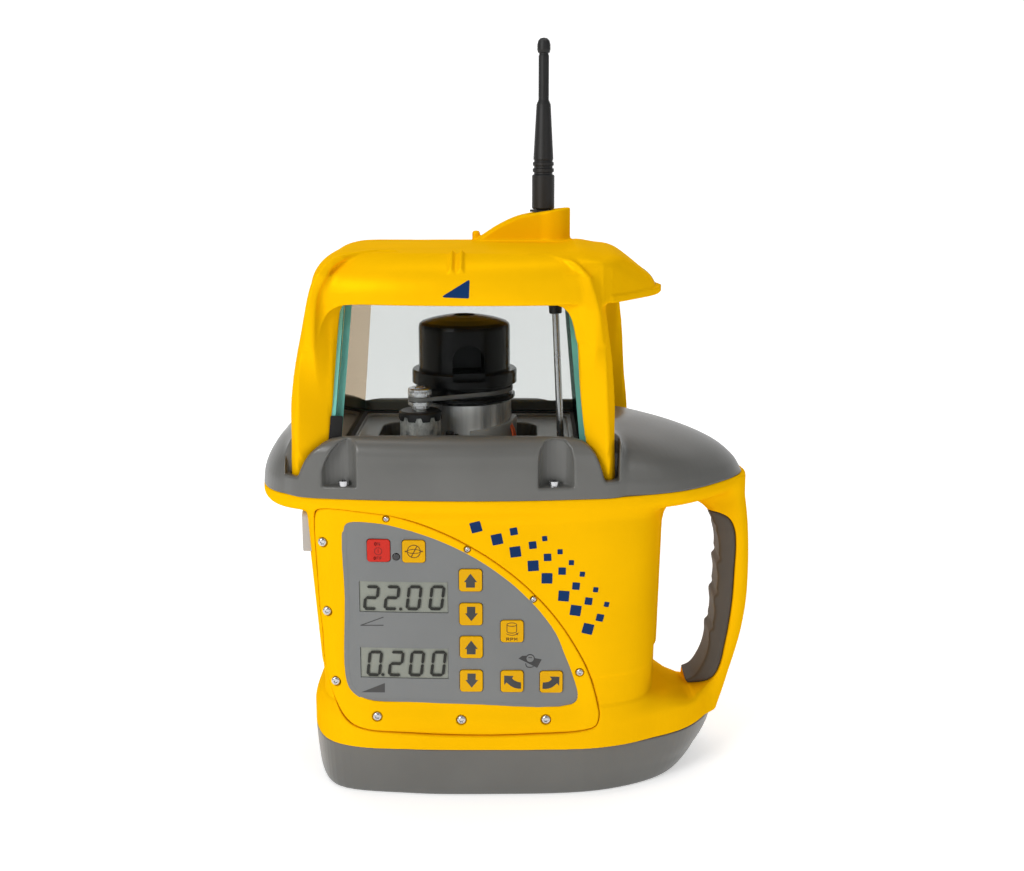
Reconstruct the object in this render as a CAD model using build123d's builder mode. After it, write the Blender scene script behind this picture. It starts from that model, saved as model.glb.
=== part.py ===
from build123d import *
import os
from math import sin, cos, radians, sqrt, atan2, degrees, dist

# Grade laser: yellow instrument body with a carrying handle, keypad on the front,
# glazed lighthouse with a belt-driven rotor head and a rubber antenna on the canopy.
# Millimetres. +Z up, +X towards the handle, the keypad faces -Y.
# The origin is on the rotor axis, at the mouth of the tripod thread in the base.

os.makedirs("parts", exist_ok=True)

# ---------------------------------------------------------------- driving dimensions
Z_BASE = 32.0            # joint between base cover and housing
Z_SEAM = 190.5           # joint between housing and top cover
Z_DECK = 215.0           # deck inside the windows
Z_HOOD = 306.0           # lower edge of the canopy hood
Z_TOP = 335.0            # top plate of the canopy
WALL = 4.0               # housing wall
BEZEL_T = 2.2            # bezel thickness, let into the wall
FRONT_Y = -76.5          # keypad face at its most forward point
FRONT_X0 = 8.5           # x of that point
FRONT_R = 1000.0         # plan radius of the keypad face

THREAD_R = 6.75          # tapped core of a 5/8-11 tripod thread
THREAD_LEN = 16.0

PIVOT_Z = 176.0          # height of both gimbal axes
ARM = 60.0               # lever arm from the gimbal axis to each plunger
PIN_R = 3.0
RUN = 0.03               # running clearance on radius

HEAD_R = 28.8
RING_R = 33.1
GROOVE_R = 29.5          # belt groove on the rotor pulley
BELT_Z = 244.2
BELT_H = 4.6
MOTOR_X, MOTOR_Y = -25.4, -40.0
MOTOR_R = 12.4
MPULLEY_R = 6.2          # belt groove on the motor pulley

KEY = 13.8               # key cap side
KEY_GAP = 0.35           # gap around each key
KEY_PROUD = 0.9
KEY_TRAVEL = 0.5
KEYS = {
    "key_power": (-48.9, 158.1),
    "key_mode": (-27.8, 157.9),
    "key_grade_up": (6.0, 140.2),
    "key_grade_down": (6.1, 118.9),
    "key_cross_up": (6.2, 98.0),
    "key_cross_down": (6.1, 76.4),
    "key_speed": (30.8, 108.1),
    "key_turn_left": (30.8, 76.1),
    "key_turn_right": (54.6, 75.5),
}
LED_XZ = (-38.4, 154.3)
LCD_W, LCD_H = 53.6, 19.4
LCDS = [(-34.4, 129.0), (-34.6, 87.0)]

BEZEL = [(-87.3, 179.5), (-84.0, 183.0), (-47.4, 181.1), (-37.6, 179.1), (-18.0, 172.6),
         (1.6, 163.4), (21.2, 151.1), (40.9, 134.6), (59.0, 113.8), (73.1, 90.7),
         (78.7, 77.4), (82.8, 62.0), (84.2, 52.6), (82.1, 46.4), (73.3, 43.8),
         (44.1, 42.0), (11.2, 41.2), (-35.0, 42.4), (-62.3, 44.6), (-70.2, 48.3),
         (-76.1, 55.9), (-84.7, 78.9), (-85.8, 103.6), (-86.9, 115.0), (-87.8, 143.6)]
MEMBRANE = [(-69.5, 172.5), (-66.5, 175.4), (-47.5, 175.0), (-37.7, 172.9), (-18.1, 166.9),
            (1.6, 158.2), (21.2, 145.9), (41.0, 128.3), (57.1, 107.5), (63.2, 92.7),
            (67.1, 82.5), (71.2, 65.0), (67.3, 60.3), (5.2, 60.9), (-26.8, 61.8),
            (-57.9, 62.9), (-67.3, 69.1), (-70.4, 79.0), (-69.6, 127.7)]
BEZEL_SCREWS = [(-83.0, 161.6), (-81.6, 117.6), (-77.4, 72.6), (-51.6, 52.8), (-0.1, 51.2),
                (51.5, 51.2), (71.9, 81.5), (43.75, 128.15), (4.2, 159.4), (-44.0, 177.8)]
SCREW_HEADS = [2.8, 2.8, 2.8, 2.8, 2.8, 2.8, 2.3, 1.75, 1.75, 1.75]
SCREW_SEATS = [1.0, 1.0, 1.0, 1.0, 1.0, 1.0, 1.0, 1.0, 1.0, 0.6]

# plan of the joint between housing and top cover, front half, left end to right end
FLANGE = [(-124.5, 0), (-121.8, -41), (-108.0, -63.0), (-73.2, -76.0), (0, -82.0),
          (74, -76.0), (131.8, -58.5), (162, -31.0), (174.4, -13.0), (177.5, 0)]
# plan of the joint between base cover and housing
TUB = [(-97, 0), (-93.6, -42), (-80.0, -65.6), (-35, -75.6), (11, -76.7), (83.5, -71.8),
       (134.8, -49.5), (154.8, -25), (162.5, 0)]
# plan of the flat underside
SOLE = [(-90.5, 0), (-88.0, -35.5), (-76.5, -62.0), (-33, -71.2), (10.5, -72.6), (85.5, -66.6),
        (122.5, -47.0), (136.5, -24), (140.5, 0)]


def front_y(x):
    """Y of the keypad face at a given X."""
    return FRONT_Y + (x - FRONT_X0) ** 2 / (2 * FRONT_R)


def bezel_y(x, z):
    """Y of the bezel face, which turns back round the left corner."""
    u = x - lerp(z, CORE_Z, CORE_L)
    if u >= 27.0:
        return front_y(x)
    return -66.0 + (front_y(x - u + 27.0) + 66.0) * (1 - ((27.0 - u) / 16.0) ** 2)


def lerp(z, zs, vs):
    for i in range(len(zs) - 1):
        if z <= zs[i + 1]:
            t = (z - zs[i]) / (zs[i + 1] - zs[i])
            return vs[i] + t * (vs[i + 1] - vs[i])
    i = len(zs) - 2
    t = (z - zs[i]) / (zs[i + 1] - zs[i])
    return vs[i] + t * (vs[i + 1] - vs[i])


def closed_half(pts):
    """Face inside a front half outline and its mirror image behind."""
    back = [(x, -y) for x, y in reversed(pts)]
    loop = list(pts) + back[1:-1]
    n = len(loop)
    with BuildLine() as rim:
        for i in range(n):
            a, b, c, d = loop[i - 1], loop[i], loop[(i + 1) % n], loop[(i + 2) % n]
            ab, bc, cd = dist(a, b), dist(b, c), dist(c, d)
            # middle of the smooth curve through the four neighbours
            tb = [((b[k] - a[k]) / ab * bc + (c[k] - b[k]) / bc * ab) / (ab + bc) * bc for k in (0, 1)]
            tc = [((c[k] - b[k]) / bc * cd + (d[k] - c[k]) / cd * bc) / (bc + cd) * bc for k in (0, 1)]
            mid = [(b[k] + c[k]) / 2 + (tb[k] - tc[k]) / 8 for k in (0, 1)]
            ThreePointArc(b, tuple(mid), c)
    make_face(rim.edges())


def inset_half(pts, t):
    """Half outline moved inwards by t along its own normals."""
    out = []
    n = len(pts)
    for i, (x, y) in enumerate(pts):
        if i == 0:
            out.append((x + t, 0))
        elif i == n - 1:
            out.append((x - t, 0))
        else:
            ax, ay = pts[i - 1]
            bx, by = pts[i + 1]
            dx, dy = bx - ax, by - ay
            length = sqrt(dx * dx + dy * dy)
            out.append((x - t * dy / length, y + t * dx / length))
    return out


CORE_Z = [32.0, 190.5]
CORE_L = [-87.5, -99.8]
CORE_RT = [121.0, 125.0]


def core_face(z, t):
    """Plan of the housing core at height z, moved inwards by t."""
    xl = lerp(z, CORE_Z, CORE_L)
    xr = lerp(z, CORE_Z, CORE_RT)
    a, b = xl + 27.0, xr - 38.0
    half = [(xl + t, 0), (xl + t + 0.9, -30 + 0.5 * t), (xl + t + 3.8, -52.0 + t), (xl + t + 11.0, -66.0 + t), (a, front_y(a) + t),
            (-30.0, front_y(-30.0) + t), (FRONT_X0, FRONT_Y + t), (46.0, front_y(46.0) + t), (b, front_y(b) + t),
            (xr - t - 14.5, -63.5 + t), (xr - t - 4.6, -48.0 + t), (xr - t - 0.8, -25 + 0.5 * t), (xr - t, 0)]
    closed_half(half)


def core_loft(t, z0, z1, mode):
    sections = []
    for z in (z0, z1):
        with BuildSketch(Plane.XY.offset(z)) as level:
            core_face(z, t)
        sections.append(level.sketch)
    loft(sections, ruled=True, mode=mode)


def panel_prism(outline, grow, y0, y1, mode):
    """Outline seen from the front, pushed between two Y planes (y0 nearer the front)."""
    with BuildSketch(Plane.XZ.offset(-y1)) as shape:
        with BuildLine() as rim:
            Polyline(*outline, close=True)
        make_face(rim.edges())
        if grow:
            offset(amount=grow, kind=Kind.INTERSECTION)
    extrude(shape.sketch, amount=y1 - y0, mode=mode)


def front_band(d0, d1, mode, side=1):
    """Curved slab that follows the keypad face, from depth d0 to depth d1 behind it (side -1: the rear face)."""
    xs = (-100.0, FRONT_X0, 117.0)
    with BuildSketch(Plane.XY.offset(20)) as shape:
        with BuildLine() as rim:
            ThreePointArc(*[(x, side * (front_y(x) + d0)) for x in xs])
            Line((xs[2], side * (front_y(xs[2]) + d0)), (xs[2], side * (front_y(xs[2]) + d1)))
            ThreePointArc(*[(x, side * (front_y(x) + d1)) for x in reversed(xs)])
            Line((xs[0], side * (front_y(xs[0]) + d1)), (xs[0], side * (front_y(xs[0]) + d0)))
        make_face(rim.edges())
    extrude(shape.sketch, amount=180, mode=mode)


def save(builder, name):
    builder.part.label = name
    export_step(builder.part, f"parts/{name}.step")


# ---------------------------------------------------------------- base
TUB_LEVELS = [(0.0, 0.0, 0.0), (3.0, 0.55, 0.25), (10.0, 0.73, 0.50), (20.0, 0.88, 0.79), (32.0, 1.0, 1.0)]


def tub_points(wl, wr, t):
    pts = []
    for (bx, by), (tx, ty) in zip(SOLE, TUB):
        s = min(1.0, max(0.0, (tx - 40.0) / 100.0))
        w = wl * (1 - s) + wr * s
        pts.append((bx + w * (tx - bx), by + w * (ty - by)))
    return inset_half(pts, t) if t else pts


with BuildPart() as base_cover:
    for z, wl, wr in TUB_LEVELS:
        with BuildSketch(Plane.XY.offset(z)):
            closed_half(tub_points(wl, wr, 0))
    loft(ruled=True)
    for z, wl, wr in [(5.0, 0.58, 0.30), (12.0, 0.75, 0.54), (20.0, 0.88, 0.79), (33.0, 1.0, 1.0)]:
        with BuildSketch(Plane.XY.offset(z)):
            closed_half(tub_points(wl, wr, 4.5))
    loft(ruled=True, mode=Mode.SUBTRACT)
    with BuildSketch(Plane.XY.offset(4.0)):
        Circle(22)
    extrude(amount=19)
    with BuildSketch(Plane.XY.offset(4.0)):
        with Locations((-62, -40), (-62, 40), (10, -52), (10, 52), (82, -36), (82, 36)):
            Circle(5)
    extrude(amount=28)
    with BuildSketch(Plane.XY.offset(-1)):
        Circle(18.0)
    extrude(amount=5.0, mode=Mode.SUBTRACT)
    with BuildSketch(Plane.XY.offset(-1)):
        Circle(13.0)
    extrude(amount=30.0, mode=Mode.SUBTRACT)
    with BuildSketch(Plane.XY.offset(-1)):
        with Locations((-62, -40), (-62, 40), (10, -52), (10, 52), (82, -36), (82, 36)):
            Circle(3.6)
    extrude(amount=6.0, mode=Mode.SUBTRACT)
    with BuildSketch(Plane.XY.offset(-1)):
        with Locations((-62, -40), (-62, 40), (10, -52), (10, 52), (82, -36), (82, 36)):
            Circle(1.6)
    extrude(amount=40.0, mode=Mode.SUBTRACT)
save(base_cover, "base_cover")

with BuildPart() as tripod_insert:
    with BuildSketch(Plane.XY):
        Circle(18.0)
    extrude(amount=4.0)
    with BuildSketch(Plane.XY.offset(4.0)):
        Circle(13.0)
    extrude(amount=17.0)
    with BuildSketch(Plane.XY):
        Circle(THREAD_R)
    extrude(amount=THREAD_LEN, mode=Mode.SUBTRACT)
    with BuildSketch(Plane.XY):
        with PolarLocations(12.5, 4, start_angle=45):
            Circle(1.5)
    extrude(amount=2.0, mode=Mode.SUBTRACT)
save(tripod_insert, "tripod_insert")

with BuildPart() as base_screws:
    with BuildSketch(Plane.XY.offset(2.4)):
        with Locations((-62, -40), (-62, 40), (10, -52), (10, 52), (82, -36), (82, 36)):
            Circle(3.3)
    extrude(amount=2.6)
    with BuildSketch(Plane.XY.offset(5.0)):
        with Locations((-62, -40), (-62, 40), (10, -52), (10, 52), (82, -36), (82, 36)):
            Circle(1.6)
    extrude(amount=22.0)
    with BuildSketch(Plane.XY.offset(2.4)):
        with Locations((-62, -40), (-62, 40), (10, -52), (10, 52), (82, -36), (82, 36)):
            Rectangle(3.8, 0.9)
            Rectangle(0.9, 3.8)
    extrude(amount=1.4, mode=Mode.SUBTRACT)
save(base_screws, "base_screws")

# ---------------------------------------------------------------- housing
HANDLE_OUT = [(177.2, 186.0), (178.6, 178.0), (181.0, 160.0), (182.1, 142.5), (182.4, 124.6), (181.7, 106.0),
              (179.3, 88.0), (176.2, 74.0), (172.3, 60.0), (167.8, 44.0), (163.0, 32.0)]
HANDLE_IN = [(119.0, 62.0), (128.0, 58.5), (136.0, 54.5), (143.0, 51.8), (149.0, 55.0), (154.8, 64.3), (158.6, 78.3),
             (161.4, 99.0), (162.6, 123.0), (162.8, 140.0), (161.6, 152.0), (157.6, 163.0),
             (151.5, 170.5), (143.0, 174.0), (131.0, 171.5), (119.0, 167.5)]
HANDLE_HALF = 17.0
GRIP_LINE = [(155.8, 167.2), (162.6, 165.9), (168.6, 162.3), (172.3, 155.0), (173.4, 144.5), (173.0, 127.8),
             (172.2, 107.6), (170.4, 90.6), (168.2, 77.0), (166.0, 65.2), (163.0, 57.5), (158.5, 53.0),
             (152.0, 51.2), (145.0, 50.4)]
SCALLOPS = [(143.5, 52.1), (149.0, 55.0), (154.2, 63.2), (156.9, 70.5), (158.2, 78.3), (158.2, 85.2), (160.6, 92.0),
            (161.2, 99.0), (160.4, 108.0), (162.2, 115.5), (162.6, 123.0), (161.4, 131.5), (162.8, 138.0),
            (162.6, 145.0), (161.0, 152.0), (157.8, 161.5), (155.6, 166.6)]

DOOR_W, DOOR_Z0, DOOR_Z1 = 140.0, 44.0, 118.0
DOOR_PIN_Y, DOOR_PIN_Z = 80.2, 42.0
PORT_Y, PORT_Z = -36.0, 163.0

with BuildPart() as bezel_recess:
    panel_prism(BEZEL, 0.15, -95.0, -50.0, Mode.ADD)
    core_loft(BEZEL_T, 20.0, 200.0, Mode.SUBTRACT)

with BuildPart() as main_housing:
    core_loft(0, Z_BASE, Z_SEAM, Mode.ADD)
    # skirt above the base joint
    for z, t in ((Z_BASE, 0.0), (48.0, 1.4), (55.0, 4.0), (58.0, 8.0)):
        with BuildSketch(Plane.XY.offset(z)):
            closed_half(inset_half(TUB, t))
    loft(ruled=True)
    # flared rim under the top cover
    for z, t in ((180.0, 9.0), (181.8, 4.0), (185.0, 0.4), (Z_SEAM, 0.0)):
        with BuildSketch(Plane.XY.offset(z)):
            closed_half(inset_half(FLANGE, t))
    loft(ruled=True)
    # carrying handle
    with BuildSketch(Plane.XZ):
        with BuildLine():
            Line((119.0, Z_SEAM), (176.5, Z_SEAM))
            Line((176.5, Z_SEAM), HANDLE_OUT[0])
            Spline(*HANDLE_OUT)
            Line(HANDLE_OUT[-1], (119.0, Z_BASE))
            Line((119.0, Z_BASE), HANDLE_IN[0])
            Spline(*HANDLE_IN)
            Line(HANDLE_IN[-1], (119.0, Z_SEAM))
        make_face()
    extrude(amount=HANDLE_HALF, both=True)
    # finger opening stays clear through the skirt and the rim
    with BuildSketch(Plane.XZ):
        with BuildLine():
            Spline(*HANDLE_IN)
            Line(HANDLE_IN[-1], (126.0, 160.0))
            Line((126.0, 160.0), (122.5, 68.0))
            Line((122.5, 68.0), HANDLE_IN[0])
        make_face()
    extrude(amount=90, both=True, mode=Mode.SUBTRACT)
    core_loft(WALL, Z_BASE - 1, Z_SEAM + 1, Mode.SUBTRACT)
    add(bezel_recess.part, mode=Mode.SUBTRACT)
    panel_prism(BEZEL, -5.0, -95.0, -50.0, Mode.SUBTRACT)
    for x, z in BEZEL_SCREWS:
        with BuildSketch(Plane.XZ.offset(95)):
            with Locations((x, z)):
                Circle(1.25)
        extrude(amount=-60, mode=Mode.SUBTRACT)
    # seat of the rubber grip
    with BuildSketch(Plane.XZ):
        with BuildLine():
            Spline(*GRIP_LINE)
            Polyline(GRIP_LINE[-1], (142.9, 51.2), (142.9, 62.0), (150.0, 72.0), (150.0, 158.0), GRIP_LINE[0])
        make_face()
    extrude(amount=40, both=True, mode=Mode.SUBTRACT)
    # battery doorway with its hinge knuckles
    with BuildSketch(Plane.XZ.offset(-60)):
        with Locations((0, (DOOR_Z0 + DOOR_Z1) / 2)):
            RectangleRounded(DOOR_W, DOOR_Z1 - DOOR_Z0, 4)
    extrude(amount=-40, mode=Mode.SUBTRACT)
    for x0 in (-58.0, 46.0):
        with BuildSketch(Plane.YZ.offset(x0)):
            with Locations((DOOR_PIN_Y, DOOR_PIN_Z)):
                Circle(3.2)
            with Locations((DOOR_PIN_Y - 3.4, DOOR_PIN_Z - 1.6)):
                Rectangle(6.8, 3.2)
        extrude(amount=12.0)
    with BuildSketch(Plane.YZ.offset(-70)):
        with Locations((DOOR_PIN_Y, DOOR_PIN_Z)):
            Circle(1.5)
    extrude(amount=140.0, mode=Mode.SUBTRACT)
    # opening for the side port plate
    with BuildSketch(Plane.YZ.offset(-110)):
        with Locations((PORT_Y, PORT_Z)):
            RectangleRounded(34.0, 26.0, 4.0)
    extrude(amount=20, mode=Mode.SUBTRACT)
save(main_housing, "main_housing")

with BuildPart() as handle_grip:
    with BuildSketch(Plane.XZ):
        with BuildLine():
            Spline(*SCALLOPS)
            Line(SCALLOPS[-1], GRIP_LINE[0])
            Spline(*GRIP_LINE)
            Line(GRIP_LINE[-1], SCALLOPS[0])
        make_face()
    extrude(amount=HANDLE_HALF + 0.3, both=True)
save(handle_grip, "handle_grip")

# ---------------------------------------------------------------- keypad
with BuildPart() as keypad_bezel:
    core_loft(0, Z_BASE, Z_SEAM, Mode.ADD)
    panel_prism(BEZEL, 0, -95.0, -50.0, Mode.INTERSECT)
    core_loft(BEZEL_T - 0.08, Z_BASE - 1, Z_SEAM + 1, Mode.SUBTRACT)
    panel_prism(MEMBRANE, 0.2, -96.0, -40.0, Mode.SUBTRACT)
    for (x, z), r, deep in zip(BEZEL_SCREWS, SCREW_HEADS, SCREW_SEATS):
        with BuildSketch(Plane.XZ.offset(95)):
            with Locations((x, z)):
                Circle(r + 0.15)
        extrude(amount=-(95 + bezel_y(x, z) + deep), mode=Mode.SUBTRACT)
        with BuildSketch(Plane.XZ.offset(95)):
            with Locations((x, z)):
                Circle(1.25)
        extrude(amount=-60, mode=Mode.SUBTRACT)
save(keypad_bezel, "keypad_bezel")

with BuildPart() as bezel_screws:
    for (x, z), r, deep in zip(BEZEL_SCREWS, SCREW_HEADS, SCREW_SEATS):
        seat = bezel_y(x, z) + deep
        with BuildSketch(Plane.XZ.offset(-seat)):
            with Locations((x, z)):
                Circle(r)
        extrude(amount=1.0)
        with BuildSketch(Plane.XZ.offset(-seat)):
            with Locations((x, z)):
                Circle(1.2)
        extrude(amount=-6.0)
        with BuildSketch(Plane.XZ.offset(-seat + 1.0)):
            with Locations((x, z)):
                Rectangle(2.6, 0.7)
                Rectangle(0.7, 2.6)
        extrude(amount=-0.7, mode=Mode.SUBTRACT)
save(bezel_screws, "bezel_screws")

MEM_D0, MEM_D1 = 0.5, 2.0
with BuildPart() as keypad_membrane:
    front_band(MEM_D0, MEM_D1, Mode.ADD)
    panel_prism(MEMBRANE, 0, -95.0, -50.0, Mode.INTERSECT)
    with BuildSketch(Plane.XZ.offset(95)):
        for x, z in KEYS.values():
            with Locations((x, z)):
                RectangleRounded(KEY + 2 * KEY_GAP, KEY + 2 * KEY_GAP, 2.2)
        for x, z in LCDS:
            with Locations((x, z)):
                Rectangle(LCD_W, LCD_H)
        with Locations(LED_XZ):
            Circle(2.4)
    extrude(amount=-60, mode=Mode.SUBTRACT)
save(keypad_membrane, "keypad_membrane")

with BuildPart() as lcd_modules:
    for x, z in LCDS:
        with BuildSketch(Plane.XZ.offset(-(FRONT_Y + 5.8))):
            with Locations((x, z)):
                Rectangle(LCD_W - 0.4, LCD_H - 0.4)
        extrude(amount=4.8)
    front_band(1.2, 8.0, Mode.INTERSECT)
save(lcd_modules, "lcd_modules")

with BuildPart() as keypad_board:
    with BuildSketch(Plane.XZ.offset(-(FRONT_Y + 5.9))):
        with BuildLine():
            Polyline(*MEMBRANE, close=True)
        make_face()
        offset(amount=-3.0, kind=Kind.INTERSECTION)
    extrude(amount=-1.6)
    for x, z in KEYS.values():
        with BuildSketch(Plane.XZ.offset(-(FRONT_Y + 5.9))):
            with Locations((x, z)):
                Circle(4.0)
        extrude(amount=0.5)
save(keypad_board, "keypad_board")

with BuildPart() as status_led:
    with BuildSketch(Plane.XZ.offset(-(front_y(LED_XZ[0]) + 0.4))):
        with Locations(LED_XZ):
            Circle(2.2)
    extrude(amount=-3.2)
    fillet(status_led.faces().sort_by(Axis.Y)[0].edges(), 0.6)
save(status_led, "status_led")


def key_block(xz):
    x, z = xz
    y = front_y(x)
    with BuildSketch(Plane.XZ.offset(-(y + MEM_D0 - KEY_PROUD))) as shape:
        with Locations((x, z)):
            RectangleRounded(KEY, KEY, 2.0)
    extrude(shape.sketch, amount=-3.4)


with BuildPart() as key_power:
    key_block(KEYS["key_power"])
    fillet(key_power.faces().sort_by(Axis.Y)[0].edges(), 0.35)
save(key_power, "key_power")

with BuildPart() as key_mode:
    key_block(KEYS["key_mode"])
    fillet(key_mode.faces().sort_by(Axis.Y)[0].edges(), 0.35)
save(key_mode, "key_mode")

with BuildPart() as key_grade_up:
    key_block(KEYS["key_grade_up"])
    fillet(key_grade_up.faces().sort_by(Axis.Y)[0].edges(), 0.35)
save(key_grade_up, "key_grade_up")

with BuildPart() as key_grade_down:
    key_block(KEYS["key_grade_down"])
    fillet(key_grade_down.faces().sort_by(Axis.Y)[0].edges(), 0.35)
save(key_grade_down, "key_grade_down")

with BuildPart() as key_cross_up:
    key_block(KEYS["key_cross_up"])
    fillet(key_cross_up.faces().sort_by(Axis.Y)[0].edges(), 0.35)
save(key_cross_up, "key_cross_up")

with BuildPart() as key_cross_down:
    key_block(KEYS["key_cross_down"])
    fillet(key_cross_down.faces().sort_by(Axis.Y)[0].edges(), 0.35)
save(key_cross_down, "key_cross_down")

with BuildPart() as key_speed:
    key_block(KEYS["key_speed"])
    fillet(key_speed.faces().sort_by(Axis.Y)[0].edges(), 0.35)
save(key_speed, "key_speed")

with BuildPart() as key_turn_left:
    key_block(KEYS["key_turn_left"])
    fillet(key_turn_left.faces().sort_by(Axis.Y)[0].edges(), 0.35)
save(key_turn_left, "key_turn_left")

with BuildPart() as key_turn_right:
    key_block(KEYS["key_turn_right"])
    fillet(key_turn_right.faces().sort_by(Axis.Y)[0].edges(), 0.35)
save(key_turn_right, "key_turn_right")

# ---------------------------------------------------------------- side port
with BuildPart() as port_plate:
    with BuildSketch(Plane.YZ.offset(-97.6)):
        with Locations((PORT_Y, PORT_Z)):
            RectangleRounded(33.8, 25.8, 3.9)
    extrude(amount=6.0)
    with BuildSketch(Plane.YZ.offset(-98)):
        with Locations((PORT_Y, PORT_Z)):
            Circle(6.0)
    extrude(amount=10, mode=Mode.SUBTRACT)
    with BuildSketch(Plane.YZ.offset(-98)):
        with Locations((PORT_Y - 12.5, PORT_Z + 8.5), (PORT_Y + 12.5, PORT_Z - 8.5)):
            Circle(1.6)
    extrude(amount=2.4, mode=Mode.SUBTRACT)
save(port_plate, "port_plate")

with BuildPart() as charge_jack:
    with BuildSketch(Plane.YZ.offset(-98.4)):
        with Locations((PORT_Y, PORT_Z)):
            Circle(5.9)
    extrude(amount=14)
    with BuildSketch(Plane.YZ.offset(-91.5)):
        with Locations((PORT_Y, PORT_Z)):
            Circle(8.0)
    extrude(amount=3)
    with BuildSketch(Plane.YZ.offset(-99)):
        with Locations((PORT_Y, PORT_Z)):
            Circle(3.6)
    extrude(amount=9.5, mode=Mode.SUBTRACT)
    with BuildSketch(Plane.YZ.offset(-98.0)):
        with Locations((PORT_Y, PORT_Z)):
            Circle(1.1)
    extrude(amount=9.5)
save(charge_jack, "charge_jack")

# ---------------------------------------------------------------- top cover
DOME = [(Z_SEAM, 124.5, 177.5, 82.0), (201.0, 123.0, 170.8, 82.3), (212.0, 118.0, 156.0, 81.3),
        (221.0, 110.5, 133.0, 78.6), (228.0, 98.0, 104.0, 68.6)]
DOME_IN = [(Z_SEAM - 1, 121.0, 173.6, 78.6), (199.5, 119.4, 166.6, 78.6), (209.5, 114.6, 152.0, 77.6),
           (218.0, 107.0, 129.0, 74.8), (224.6, 95.0, 100.0, 65.0)]


def dome_points(le, ri, de):
    return [(x * (le / 124.5 if x < 0 else ri / 177.5), y * de / 82.0) for x, y in FLANGE]


def dome_loft(levels, mode):
    sections = []
    for z, le, ri, de in levels:
        with BuildSketch(Plane.XY.offset(z)) as level:
            closed_half(dome_points(le, ri, de))
        sections.append(level.sketch)
    loft(sections, ruled=True, mode=mode)


LEGS = [(-1, -1), (1, -1), (-1, 1), (1, 1)]


# plan of each leg at four heights: ridge, inner front, inner rear, outer rear
LEG_Z = (196.0, 222.0, 250.0, 306.0)
LEG_LEFT = [[(98.8, 66.5), (77.6, 64.5), (77.6, 57.5), (103.2, 58.5)],
            [(95.8, 77.1), (75.3, 68.2), (75.3, 56.3), (101.3, 60.8)],
            [(94.4, 77.2), (72.9, 67.0), (72.9, 54.4), (100.4, 60.5)],
            [(84.6, 78.0), (67.4, 65.6), (67.4, 51.0), (89.0, 60.0)]]
LEG_RIGHT = [[(89.5, 70.5), (77.0, 66.5), (77.0, 57.5), (93.2, 60.5)],
             [(87.4, 77.1), (74.1, 68.2), (74.1, 56.3), (92.0, 61.8)],
             [(86.6, 77.2), (71.0, 67.0), (71.0, 54.4), (91.6, 61.5)],
             [(79.4, 78.0), (66.6, 65.6), (66.6, 51.0), (84.6, 60.0)]]
LEG_REAR = [[(100.0, 70.0), (78.0, 66.0), (78.0, 57.5), (111.5, 60.0)],
            [(97.8, 76.3), (75.7, 68.4), (75.7, 56.3), (109.0, 61.5)],
            [(95.4, 76.6), (73.2, 67.0), (73.2, 54.4), (106.2, 61.0)],
            [(90.0, 77.0), (68.3, 66.0), (68.3, 51.0), (100.5, 60.0)]]


def leg_points(z, sx, sy, grow):
    """Plan of one canopy leg at height z."""
    plans = LEG_LEFT if sx < 0 else (LEG_RIGHT if sy < 0 else LEG_REAR)
    pts = [(lerp(z, LEG_Z, [lv[i][0] for lv in plans]), lerp(z, LEG_Z, [lv[i][1] for lv in plans])) for i in range(4)]
    cx = sum(p[0] for p in pts) / 4
    cy = sum(p[1] for p in pts) / 4
    out = []
    for x, y in pts:
        dx, dy = x - cx, y - cy
        length = sqrt(dx * dx + dy * dy)
        out.append((sx * (x + grow * dx / length), sy * (y + grow * dy / length)))
    return out


def leg_loft(z0, z1, sx, sy, grow, mode):
    sections = []
    for z in [z0] + [z for z in LEG_Z if z0 < z < z1] + [z1]:
        with BuildSketch(Plane.XY.offset(z)) as level:
            with BuildLine() as rim:
                Polyline(*leg_points(z, sx, sy, grow), close=True)
            make_face(rim.edges())
        sections.append(level.sketch)
    loft(sections, ruled=True, mode=mode)


POCKETS = [(-71.5, -1), (57.0, -1), (-71.5, 1), (57.0, 1)]
COVER_SCREWS = [(-68.6, -74.6), (55.6, -74.2), (-68.6, 74.6), (55.6, 74.2)]

with BuildPart() as cover_cavity:
    dome_loft(DOME_IN, Mode.ADD)
    with BuildSketch(Plane.XY.offset(211.5)):
        RectangleRounded(160, 146, 22)
    extrude(amount=30, mode=Mode.SUBTRACT)
    for px, sy in POCKETS:
        with BuildSketch(Plane.XY.offset(Z_SEAM - 2)):
            with Locations((px, sy * 89.1)):
                RectangleRounded(26.0, 41.0, 12.0)
        extrude(amount=45.0, mode=Mode.SUBTRACT)

with BuildPart() as top_cover:
    dome_loft(DOME, Mode.ADD)
    add(cover_cavity.part, mode=Mode.SUBTRACT)
    with BuildSketch(Plane.XY.offset(Z_DECK)):
        RectangleRounded(154, 139, 2)
    extrude(amount=30, mode=Mode.SUBTRACT)
    with BuildSketch(Plane.XY.offset(205)):
        with Locations((-4.5, -11.0)):
            RectangleRounded(101, 102, 14)
    extrude(amount=20, mode=Mode.SUBTRACT)
    for px, sy in POCKETS:
        with BuildSketch(Plane.XY.offset(Z_SEAM + 7.5)):
            with Locations((px, sy * 89.1)):
                RectangleRounded(22.0, 37.0, 10.4)
        extrude(amount=40, mode=Mode.SUBTRACT)
    with BuildSketch(Plane.XY.offset(Z_SEAM - 1)):
        with Locations(*COVER_SCREWS):
            Circle(1.8)
    extrude(amount=20, mode=Mode.SUBTRACT)
    for sx, sy in LEGS:
        leg_loft(194.6, 236.0, sx, sy, 0.7, Mode.SUBTRACT)
save(top_cover, "top_cover")

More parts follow.
